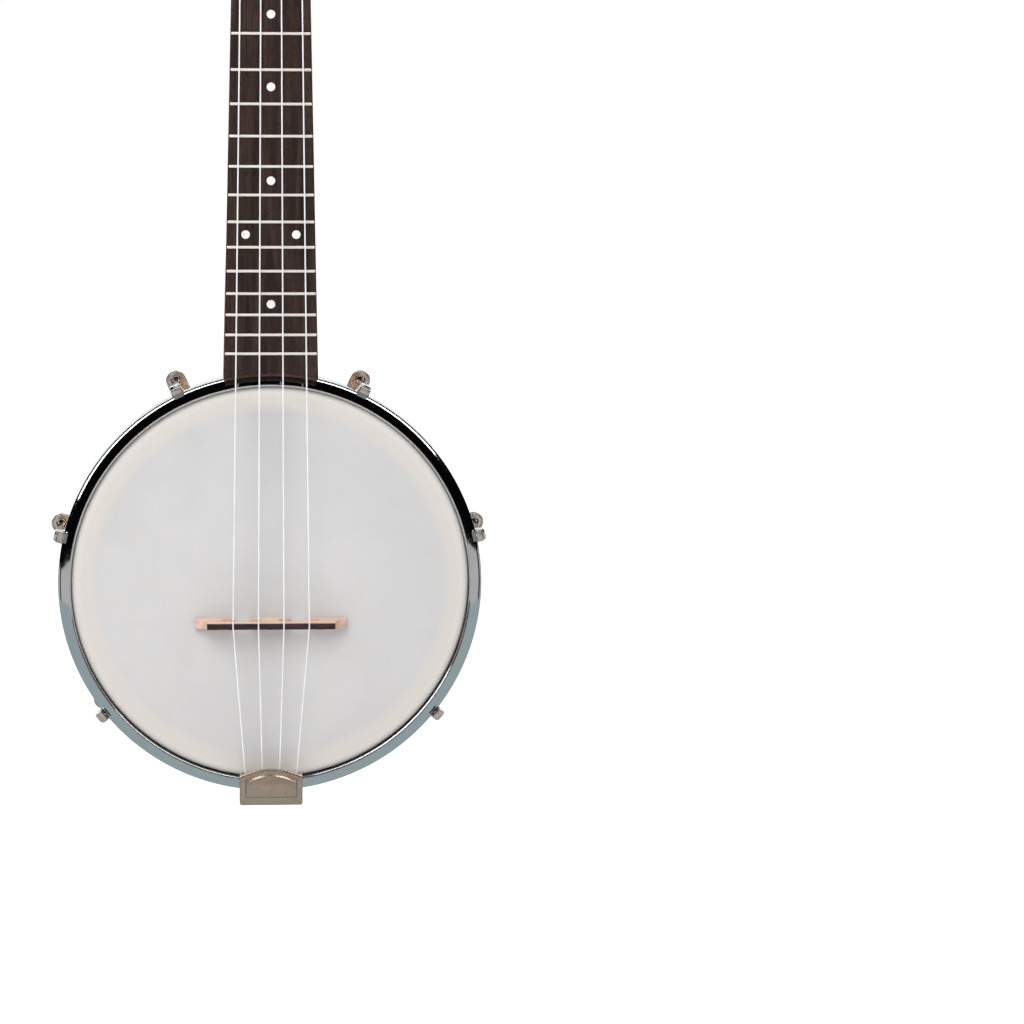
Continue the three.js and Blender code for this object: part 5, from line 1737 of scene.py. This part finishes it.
@dataclass
class Bridge:
    """The three-footed bridge and its dark cap."""

    neck: Neck
    drop: float = 194.0
    span: float = 77.7
    foot_width: float = 19.8
    height: float = 12.7
    thickness: Pair = (6, 3)
    arch: float = 7.7
    toe_reach: float = 6
    toe_height: float = 3.2
    end_height: float = 4
    cap_length: float = 65.6
    cap_height: float = 1.6
    edge: float = 0.25
    cap_edge: float = 0.3
    string_spread: float = 39
    string_radius: float = 0.35
    slot_depth: float = 0.8

    @property
    def place(self) -> float:
        """The bridge's height on the drum head."""
        return self.neck.board_end + self.neck.twelfth_rise - self.drop

    @property
    def top(self) -> float:
        """The depth of the cap's front edge."""
        return -(FIT + self.height)

    def make_bridge(self) -> None:
        """Saw the bridge's elevation and thin it towards the top."""
        floor, top, half = -FIT, self.top + self.cap_height + FIT, self.span / 2
        gap = (self.span - 3 * self.foot_width) / 2
        rise, cap = floor - self.end_height, self.cap_length / 2
        radius, toe = (self.arch - self.toe_height) / 2, floor - self.toe_height
        outline = [(-half, floor)]
        for start in (-half, -half + self.foot_width + gap):
            left, right = start + self.foot_width, start + self.foot_width + gap
            inward = self.toe_reach - radius
            outline += [(left, floor), (left, toe), *arc((left - inward, toe - radius), radius, 1, 3, 12)]
            outline += [*arc((right + inward, toe - radius), radius, -1, 1, 12), (right, toe), (right, floor)]
        outline += [(half, floor), *bezier((half, rise), (cap, rise), (cap, top), steps=8)]
        outline += bezier((-cap, top), (-cap, rise), (-half, rise), steps=8)
        foot, thin = self.thickness
        shape = prism(outline, -foot / 2, foot / 2, Lie.END_ON)
        for vert in shape.verts:
            share = (vert.co.y - floor) / (top - floor)
            vert.co.z = math.copysign((foot + (thin - foot) * share) / 2, vert.co.z)
        bridge = eased(as_piece(moved(shape, z=self.place)), self.edge, 2, 40)
        finish_piece(bridge, "three_footed_bridge", BRIDGE_WOOD, ["bridge"])

    def make_cap(self) -> None:
        """Make the dark cap with a shallow slot for each string."""
        half, thin = self.cap_length / 2, self.thickness[1] / 2
        cap = as_piece(block((-half, self.top, -thin), (half, self.top + self.cap_height, thin)))
        eased(cap, self.cap_edge, 3)
        slots = []
        width = self.string_radius + FIT
        for i in range(len(NOTES)):
            across = (i / (len(NOTES) - 1) - 0.5) * self.string_spread
            slot = bar(width, -thin - 1, thin + 1, Axis.UPRIGHT, 24)
            slots.append(moved(slot, across, self.top + self.slot_depth / 2 - width))
        shifted(fitted(cap, Work.CUT, *slots), z=self.place)
        finish_piece(cap, "dark_cap", CAP_WOOD, ["bridge_cap"])

    def build(self) -> None:
        """Make the bridge's pieces."""
        self.make_bridge()
        self.make_cap()


@dataclass
class Tailpiece:
    """The hinged cover, the base under it and their pin."""

    pot: Pot
    half_width: float = 16.15
    overhang: float = 5
    side_height: float = 15
    arch_rise: float = 3.8
    front: float = -13
    sheet: float = 1.0
    side_depth: float = 6.4
    corner: float = 1.3
    least_corner: float = 0.35
    shoulder_rounding: float = 0.5
    edge: float = 0.8
    base_edge: float = 0.2
    panel_inset: float = 2.8
    panel_foot: float = 4.0
    panel_rise: float = 0.8
    panel_step_shares: tuple[Pair, ...] = ((-0.1, 0.0), (0.0, 0.04), (0.8, 0.96), (0.95, 1.0))
    lip_depth: float = 1.8
    string_way: float = 8
    pin_radius: float = 0.8
    pin_edge: float = 0.2
    pin_back: float = 3.4
    pin_rise: float = 2.4

    @property
    def foot(self) -> float:
        """The height of the cover's lower edge."""
        return -(self.pot.hoop_radius + self.overhang)

    def at_hinge(self, shape: Shape) -> Shape:
        """Bring a shape about the first axis to the hinge."""
        return moved(shape, 0, self.front + self.pin_back, self.foot + self.pin_rise)

    def outline(self, inset: float, foot_inset: float | None = None) -> list[Pair]:
        """Draw the cover's outline, moved in by an inset.

        Args:
            inset: How far the sides and the arch move in.
            foot_inset: How far the lower edge moves in, where it differs.

        Returns:
            The outline, with as many points whatever the inset.
        """
        half = self.half_width - inset
        low = self.foot + (inset if foot_inset is None else foot_inset)
        shoulder = self.foot + self.side_height - inset
        apex = shoulder + self.arch_rise
        radius, soft = max(self.corner - inset, self.least_corner), self.shoulder_rounding
        arch = bezier((half, shoulder), (0, 2 * apex - shoulder), (-half, shoulder), steps=32)[1:-1]
        points = [(-half, low), (half, low), (half, shoulder), *arch, (-half, shoulder)]
        return rounded(points, [radius, radius, soft, *[0.0] * len(arch), soft], 6)

    def make_cover(self) -> None:
        """Press the cover: rounded edge, raised panel and side walls, open where strings and base pass."""
        front, sheet, edge, inset = self.front, self.sheet, self.edge, self.panel_inset
        back = front + self.side_depth
        levels = [(0, back, None)]
        for i in range(6):
            turn = math.pi / 2 * i / 5
            levels.append((edge * (1 - math.cos(turn)), front + edge * (1 - math.sin(turn)), None))
        rise = self.panel_rise
        for run, share in self.panel_step_shares:
            levels.append((inset + run * rise, front - share * rise, self.panel_foot + run * rise))
        shape = bmesh.new()
        rings = []
        for ring_inset, depth, foot_inset in levels:
            rings.append([shape.verts.new((x, depth, z)) for x, z in self.outline(ring_inset, foot_inset)])
        skin(shape, rings, caps=False)
        shape.faces.new(rings[-1])
        under = front + sheet
        inner = [[shape.verts.new((x, depth, z)) for x, z in self.outline(sheet)] for depth in (back, under)]
        skin(shape, inner, caps=False)
        shape.faces.new(inner[-1])
        skin(shape, [rings[0], inner[0]], caps=False)
        cover = as_piece(shape)
        half, reach = self.half_width - sheet - FIT, self.pot.overrun
        foot, shoulder, wide = self.foot, self.foot + self.side_height, self.half_width + reach
        string_low = (-half, under + self.lip_depth, shoulder - sheet)
        string_way = block(string_low, (half, back + reach, shoulder + self.string_way))
        foot_way = block((-half, under, foot - reach), (half, back + reach, foot + 2 * sheet))
        pin = self.at_hinge(bar(self.pin_radius + FIT, -wide, wide, Axis.ACROSS))
        fitted(cover, Work.CUT, string_way, foot_way, pin)
        node = "tailpiece_cover"
        finish_piece(cover, "hinged_cover", SATIN_NICKEL, [node], node, smooth=19)

    def build(self) -> None:
        """Make the tailpiece's pieces."""
        self.make_cover()
        base = eased(copied("tailpiece_base"), self.base_edge)
        finish_piece(base, "folded_base", SATIN_NICKEL, ["tailpiece_base"])
        radius, half, edge = self.pin_radius, self.half_width, self.pin_edge
        profile = [(0, -half), (radius - edge, -half), (radius, -half + edge), (radius, half - edge)]
        profile += [(radius - edge, half), (0, half)]
        pin = self.at_hinge(turned(profile, 24, Axis.ACROSS))
        finish_piece(as_piece(pin), "hinge_pin", NICKEL, ["tailpiece_hinge_pin"])


@dataclass
class Tuners:
    """Four sealed tuners: bushing, post, housing, key shaft and button."""

    neck: Neck
    post_radius: float = 3
    waist_radius: float = 2.6
    post_height: float = 13
    waist_height: float = 5
    cap_height: float = 3.2
    eye_radius: float = 0.9
    bushing: tuple[float, ...] = (4, 5.6, 1.6, 8)
    bushing_roundings: tuple[float, ...] = (0.1, 0.2, 0.1, 0.2, 0.9, 0.3)
    post_roundings: tuple[float, ...] = (0, 0.2, 0.3, 0.3, 0.3, 0.3, 0.8, 0)
    key_roundings: tuple[float, ...] = (0, 0.1, 0.05, 0.5, 0.5, 0.05, 0.3, 0)
    housing: Triple = (14, 21, 11)
    housing_corner: float = 4
    housing_crown: tuple[Pair, ...] = ((0, 3.6), (0.2, 2.5), (0.7, 1.6), (1.6, 0.9), (3.2, 0.35), (6, 0))
    post_sink: float = 4
    worm_offset: float = 7
    shaft: Triple = (2, 13, 8)
    collar: Pair = (3, 2.4)
    button: Triple = (17, 15, 6)
    button_roundness: float = 2.1
    button_crown: tuple[Pair, ...] = ((0, 2.5), (0.3, 1.6), (1.0, 0.9), (2.2, 0.4), (3.8, 0.12), (5.6, 0))

    @property
    def housing_front(self) -> float:
        """The depth of the housings' front face, in the headstock's frame."""
        return self.neck.stock_thickness + FIT

    @property
    def key_depth(self) -> float:
        """The depth of the key shafts' axis, in the headstock's frame."""
        return self.housing_front + self.housing[2] / 2

    def seat(self, piece: Piece, kind: str, node: str, post: PostPlace, body: str = "") -> None:
        """Bring a piece from the headstock's frame to the instrument's, and finish it.

        Args:
            piece: The piece.
            kind: Its name, before the note.
            node: Its node's name, before the note.
            post: The post that it belongs to.
            body: Its body's name, before the note, where that isn't the root.
        """
        piece.data.transform(self.neck.stock_place)
        nodes, body = [f"{node}_{post.note}"], f"{body}_{post.note}" if body else ROOT
        finish_piece(piece, f"{kind}_{post.note}", TUNER_CHROME, nodes, body)

    def pillow(self, size: Pair, centre: Pair, corner: float, levels: Sequence[Pair]) -> Shape:
        """Stack rounded rectangles that draw in towards a crowned face.

        Args:
            size: The widest rectangle's width and height.
            centre: Its middle.
            corner: Its corners' radius.
            levels: How far each rectangle is drawn in, and its depth.

        Returns:
            The closed shape.
        """
        (width, height), (across, up) = size, centre
        rings = []
        for inset, depth in levels:
            plain = rectangle(width / 2 - inset, up - height / 2 + inset, up + height / 2 - inset)
            ring = rounded(plain, max(corner - inset, 1), 10)
            rings.append([Vector((x, depth, z)) for x, z in ring])
        return moved(lofted(rings), across)

    def make_bushing(self, post: PostPlace) -> None:
        """Turn the bushing that guides the post through the headstock's face.

        Args:
            post: The post's place.
        """
        body, flange, rise, depth = self.bushing
        bore, seat = self.post_radius + FIT, -FIT
        profile = stepped(bore, depth, (body, seat), (flange, seat - rise))
        shape = turned(rounded(profile, self.bushing_roundings, 4), 48)
        self.seat(as_piece(moved(shape, post.across, 0, post.height)), "bushing", "tuner_bushing", post)

    def make_post(self, post: PostPlace) -> None:
        """Turn the post, waisted for its string and bored across.

        Args:
            post: The post's place.
        """
        foot, radius, waist = self.housing_front + self.post_sink, self.post_radius, self.waist_radius
        waist_top = -(self.post_height - self.cap_height)
        waist_foot = waist_top + self.waist_height
        lead = (radius - waist) * 2
        top = waist_top - lead
        profile = [(0, foot), (radius, foot), (radius, waist_foot), (waist, waist_foot - lead)]
        profile += [(waist, waist_top), (radius, top), (radius, -self.post_height), (0, -self.post_height)]
        piece = as_piece(turned(rounded(profile, self.post_roundings, 4), 48))
        reach = radius + self.neck.pot.overrun
        eye = moved(bar(self.eye_radius, -reach, reach, Axis.UPRIGHT, 20), 0, top - self.eye_radius)
        shifted(fitted(piece, Work.CUT, eye), post.across, 0, post.height)
        self.seat(piece, "post", "tuner_post", post, "post")

    def make_housing(self, post: PostPlace) -> None:
        """Cast the sealed housing, bored for the post and the key shaft.

        Args:
            post: The post's place.
        """
        (width, length, depth), front, x = self.housing, self.housing_front, post.across
        levels = [(0, front), *[(inset, front + depth - drop) for inset, drop in self.housing_crown]]
        centre = (x, post.height - self.worm_offset / 3)
        housing = as_piece(self.pillow((width, length), centre, self.housing_corner, levels))
        (shaft, _, inside), reach = self.shaft, self.neck.pot.overrun
        ends = sorted(x + post.side * (width / 2 + end) for end in (-inside - FIT, reach))
        bore = bar(shaft + FIT, *ends, Axis.ACROSS, 40)
        hole = bar(self.post_radius + FIT, front - reach, front + self.post_sink + FIT)
        moved(bore, 0, self.key_depth, post.height - self.worm_offset)
        fitted(housing, Work.CUT, bore, moved(hole, x, 0, post.height))
        self.seat(housing, "housing", "tuner_housing", post)

    def make_key(self, post: PostPlace) -> None:
        """Turn the key shaft with its collar.

        Args:
            post: The post's place.
        """
        width = self.housing[0]
        radius, length, inside = self.shaft
        collar, collar_length = self.collar
        start, wall = width / 2 - inside, width / 2 + FIT
        ends = ((radius, wall), (collar, wall + collar_length), (radius, wall + length + inside))
        profile = stepped(0, start, *ends)
        shape = turned(rounded(profile, self.key_roundings, 3), 40, Axis.ACROSS)
        if post.side < 0:
            shape.transform(Matrix.Rotation(math.pi, 4, "Z"))
        piece = as_piece(moved(shape, post.across, self.key_depth, post.height - self.worm_offset))
        self.seat(piece, "key_shaft", "tuner_key", post, "key")

    def make_button(self, post: PostPlace) -> None:
        """Cast the button, thick in the middle and bored for its shaft.

        Args:
            post: The post's place.
        """
        (length, width, thickness), depth = self.button, self.key_depth
        radius, shaft_length, inside = self.shaft
        inner = post.across + post.side * (self.housing[0] / 2 + shaft_length)
        centre = (inner + post.side * width / 2, post.height - self.worm_offset)
        crown = [(inset, thickness / 2 - drop) for inset, drop in self.button_crown]
        levels = [(inset, depth - half) for inset, half in reversed(crown)]
        levels += [(inset, depth + half) for inset, half in crown]
        button = as_piece(self.pillow((width, length), centre, width / self.button_roundness, levels))
        ends = sorted(inner + post.side * end for end in (-self.neck.pot.overrun, inside + 2 * FIT))
        fitted(button, Work.CUT, moved(bar(radius + FIT, *ends, Axis.ACROSS, 40), 0, depth, centre[1]))
        self.seat(button, "button", "key_button", post, "key")

    def build(self) -> None:
        """Make the four tuners."""
        for post in self.neck.posts():
            self.make_bushing(post)
            self.make_post(post)
            self.make_housing(post)
            self.make_key(post)
            self.make_button(post)


@dataclass
class Strings:
    """Four nylon strings from the tailpiece's lip to their windings on the posts."""

    neck: Neck
    bridge: Bridge
    tailpiece: Tailpiece
    tuners: Tuners
    radius: float = 0.35
    nut_spread: float = 29
    tail_spread: float = 25.8
    tail_depth: float = -7.2
    lip_drop: float = 4
    lip_sheet: float = 1.2
    knot_radius: float = 1.15
    nut_clearance: float = 0.5
    turns: float = 2.25
    pitch: float = 1.15
    turn_steps: int = 32
    sides: int = 10

    def winding(self, post: PostPlace, arrival: float) -> list[Vector]:
        """Wind a string round its post.

        Args:
            post: The post's place.
            arrival: Where the string comes from, across.

        Returns:
            The winding's points.
        """
        tuners = self.tuners
        radius = tuners.waist_radius + FIT + self.radius
        top = -(tuners.post_height - tuners.cap_height - self.radius - FIT)
        lean = math.atan2(abs(post.across - post.side * radius - arrival), post.height)
        points = []
        for i in range(round(self.turns * self.turn_steps) + 1):
            turn = i / self.turn_steps
            angle = lean + 2 * math.pi * turn
            across = post.across - post.side * radius * math.cos(angle)
            place = Vector((across, top + self.pitch * turn, post.height + radius * math.sin(angle)))
            points.append(self.neck.stock_place @ place)
        return points

    def route(self, index: int, post: PostPlace) -> list[Vector]:
        """List the points of one string, from its knot to the end of its winding.

        Args:
            index: Its number, counted from nought.
            post: Its post's place.

        Returns:
            The points.
        """
        neck, bridge = self.neck, self.bridge
        share = index / (len(NOTES) - 1) - 0.5
        spreads = (self.nut_spread, bridge.string_spread, self.tail_spread)
        at_nut, at_bridge, at_tail = (share * spread for spread in spreads)
        lip = self.tailpiece.foot + self.tailpiece.side_height - self.lip_drop
        nut_depth = neck.board_face - neck.fret_height - self.nut_clearance - self.radius
        bridge_depth = bridge.top + bridge.slot_depth / 2 - FIT / 2 - self.radius
        return [
            Vector((at_tail, self.tail_depth, lip - self.lip_sheet - FIT - self.knot_radius)),
            Vector((at_tail, self.tail_depth, lip + FIT)),
            Vector((at_bridge, bridge_depth, bridge.place)),
            Vector((at_nut, nut_depth, neck.nut_height)),
            Vector((at_nut, nut_depth, neck.stock_foot)),
            *self.winding(post, at_nut),
        ]

    def build(self) -> None:
        """Run each string along its route and tie its knot."""
        pattern = cord_pattern()
        for index, post in enumerate(self.neck.posts()):
            shape = bmesh.new()
            points = [shape.verts.new(point) for point in self.route(index, post)]
            for first, second in zip(points, points[1:]):
                shape.edges.new((first, second))
            knot_at = points[0].co.copy()
            string = pattern.run(
                as_piece(shape), Radius=self.radius, Sides=self.sides, Finish=NYLON.material()
            )
            knot = bmesh.new()
            bmesh.ops.create_uvsphere(knot, u_segments=16, v_segments=12, radius=self.knot_radius)
            fitted(string, Work.JOIN, moved(knot, *knot_at))
            finish_piece(string, f"nylon_string_{post.note}", NYLON, [f"string_{post.note}"], smooth=60)


# The studio


@dataclass
class Studio:
    """Camera, lamps, floor and the cards that the metal mirrors."""

    image_pixels: int = 1024
    pot_pixel: Pair = (270.6, 583.4)
    metres_per_pixel: float = 0.0005145
    distance: float = 2.2
    elevation_degrees: float = 9.5
    azimuth_degrees: float = -1.5
    sensor: float = 36.0
    floor_height: float = -1.25
    floor_size: float = 30.0
    card_radius: float = 3.4
    card_height: float = 3.3
    card_gap: float = 0.02
    card_sheet: float = 0.01
    horizon: float = -0.56
    horizon_slope: float = 0.04
    dark: str = "#050506"
    grey: str = "#a6b1b2"
    warm: str = "#c6c0c1"
    bright: str = "#ffffff"
    dark_reach_degrees: float = 150
    warm_reach_degrees: float = 84
    wall_steps: int = 64
    fret_card: tuple[float, ...] = (0.3, 3.2, -0.35, 1.7)
    floor_glow: float = 0.6
    world_strength: float = 0.58
    lamps: tuple[tuple[str, Triple, Pair, float, bool], ...] = (
        ("left_box", (-1.45, 0.0, 1.15), (0.9, 2.5), 28, True),
        ("right_box", (1.45, 0.0, 1.65), (1.0, 2.3), 28, True),
        ("key_box", (-0.3, -0.95, 0.4), (0.8, 0.8), 10, False),
        ("back_box", (0.3, 1.6, 0.8), (1.0, 1.0), 32, False),
    )

    def add_camera(self) -> None:
        """Set the camera so that the drum head's centre lands on its pixel and the neck stands upright."""
        data = bpy.data.cameras.new("camera")
        camera = added("camera", data)
        bpy.context.scene.camera = camera
        lift, side = math.radians(self.elevation_degrees), math.radians(self.azimuth_degrees)
        away = Vector((math.sin(side) * math.cos(lift), -math.cos(side) * math.cos(lift), math.sin(lift)))
        camera.location = POT_CENTRE + away * self.distance
        focal = self.distance / self.metres_per_pixel
        data.sensor_width = self.sensor
        data.lens = focal / self.image_pixels * self.sensor
        across = self.pot_pixel[0] - self.image_pixels / 2
        up = self.image_pixels / 2 - self.pot_pixel[1]
        ray = Vector((across, up, -focal)).normalized()
        aim = -away
        tilt = (math.atan2(ray.y, ray.z) - math.acos(aim.z / math.hypot(ray.y, ray.z))) % (2 * math.pi)
        level = ray.y * math.cos(tilt) - ray.z * math.sin(tilt)
        turn = math.atan2(aim.y, aim.x) - math.atan2(level, ray.x)
        facing = Euler((tilt, 0, turn)).to_matrix()
        upward = facing.transposed() @ Vector((0, 0, 1))
        lean = math.atan2(upward.z * ray.x - upward.x * ray.z, upward.z * ray.y - upward.y * ray.z)
        camera.rotation_euler = (Matrix.Rotation(lean, 3, aim) @ facing).to_euler()

    def add_lamps(self) -> None:
        """Hang the soft boxes, which face the pot; metal mirrors those that say so."""
        for name, place, size, power, mirrored in self.lamps:
            data = bpy.data.lights.new(name, "AREA")
            data.shape = "RECTANGLE"
            data.size, data.size_y = size
            data.energy = power
            lamp = added(name, data)
            lamp.location = place
            lamp.rotation_euler = (POT_CENTRE - Vector(place)).to_track_quat("-Z", "Y").to_euler()
            lamp.visible_glossy = mirrored

    def card(self, name: str, shape: Shape, shade: str) -> None:
        """Stand a card that only mirrors show.

        Args:
            name: Its name.
            shape: Its mesh, in metres.
            shade: The colour that metal sees.
        """
        paint = Paint(name)
        mesh = bpy.data.meshes.new(name)
        shape.to_mesh(mesh)
        shape.free()
        glow = paint.add("Emission", {"Color": tint(shade), "Strength": 1.0})
        mesh.materials.append(paint.show(glow))
        card = added(name, mesh)
        for ray in ("camera", "diffuse", "transmission", "shadow"):
            setattr(card, f"visible_{ray}", False)

    def wall(self, radius: float, low: float, high: float, reach: float, roof: bool = False) -> Shape:
        """Bend a card about the studio's middle.

        Args:
            radius: How far it stands from the middle.
            low: Its lower edge.
            high: Its upper edge.
            reach: How far it goes round to each side, in degrees.
            roof: Whether it carries a flat roof.

        Returns:
            The card's mesh, in metres.
        """
        steps = self.wall_steps
        turns = [math.radians(reach) * (2 * i / steps - 1) for i in range(steps + 1)]
        places = [(radius * math.sin(turn), -radius * math.cos(turn)) for turn in turns]
        slope = 0 if roof else self.horizon_slope
        card = bmesh.new()
        rows = [[card.verts.new((x, y, low)) for x, y in places]]
        rows.append([card.verts.new((x, y, high + slope * x)) for x, y in places])
        for i in range(steps):
            card.faces.new((rows[0][i], rows[0][i + 1], rows[1][i + 1], rows[1][i]))
        if roof:
            card.faces.new(rows[1])
        return card

    def add_cards(self) -> None:
        """Stand a dark canopy and a bright card for the frets, and warm and cool grey below the canopy."""
        gap, sheet = self.card_gap, self.card_sheet
        floor, radius, high = self.floor_height + gap, self.card_radius, self.card_height
        self.card("dark_canopy", self.wall(radius, floor, high, self.dark_reach_degrees, True), self.dark)
        skirt = self.wall(radius - gap, floor, self.horizon, self.warm_reach_degrees)
        self.card("warm_skirt", skirt, self.warm)
        sweep = block((-radius, -radius, floor - sheet), (radius, radius, floor))
        self.card("grey_sweep", sweep, self.grey)
        half, ahead, low, high = self.fret_card
        self.card("fret_card", block((-half, -ahead, low), (half, sheet - ahead, high)), self.bright)

    def add_floor(self) -> None:
        """Lay the pale floor, which keeps the object's shadow and looks white to the camera."""
        paint = Paint("pale_floor")
        seen = self.seen(paint)
        plain = paint.add("BsdfDiffuse", {"Color": tint("#f2f2f2")})
        white = paint.add("Emission", {"Color": tint("#ffffff"), "Strength": self.floor_glow})
        both = paint.add("AddShader", {0: plain, 1: white})
        shader = paint.add("MixShader", {0: seen, 1: plain, 2: both})
        half = self.floor_size / 2
        shape = bmesh.new()
        square = rectangle(half, -half, half)
        shape.faces.new([shape.verts.new((x, y, self.floor_height)) for x, y in square])
        floor = as_piece(shape, "floor")
        floor.data.materials.append(paint.show(shader))

    def seen(self, paint: Wiring) -> Node:
        """Wire the share of rays that show the white background.

        Args:
            paint: The node tree.

        Returns:
            The node that gives the share.
        """
        rays = paint.add("LightPath").outputs
        plus = paint.sum("ADD", rays["Is Camera Ray"], rays["Is Glossy Ray"])
        share = paint.sum("ADD", plus, rays["Is Transmission Ray"])
        share.use_clamp = True
        return share

    def add_world(self) -> None:
        """Light the studio evenly, and show white behind it."""
        world = bpy.data.worlds.new("studio")
        bpy.context.scene.world = world
        world.use_nodes = True
        wiring = Wiring(world.node_tree)
        seen = self.seen(wiring)
        light = wiring.add("Background", {"Color": tint("#fbfcff"), "Strength": self.world_strength})
        white = wiring.add("Background", {"Color": tint("#ffffff"), "Strength": 1.0})
        mix = wiring.add("MixShader", {0: seen, 1: light, 2: white})
        wiring.add("OutputWorld", {"Surface": mix})

    def build(self) -> None:
        """Set up the whole studio."""
        bpy.context.scene.view_settings.view_transform = "Standard"
        self.add_world()
        self.add_camera()
        self.add_floor()
        self.add_cards()
        self.add_lamps()


def main() -> None:
    """Build the studio and every sub-assembly."""
    logging.basicConfig(level=logging.INFO, format="%(message)s")
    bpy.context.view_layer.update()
    Studio().build()
    pot = Pot()
    neck = Neck(pot)
    bridge = Bridge(neck)
    tailpiece = Tailpiece(pot)
    tuners = Tuners(neck)
    assemblies = [
        pot, RimHardware(pot), neck, DowelStick(pot), bridge, tailpiece, tuners,
        Strings(neck, bridge, tailpiece, tuners),
    ]
    for assembly in assemblies:
        LOG.info("building %s", type(assembly).__name__)
        assembly.build()
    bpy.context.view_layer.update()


if __name__ == "__main__":
    main()
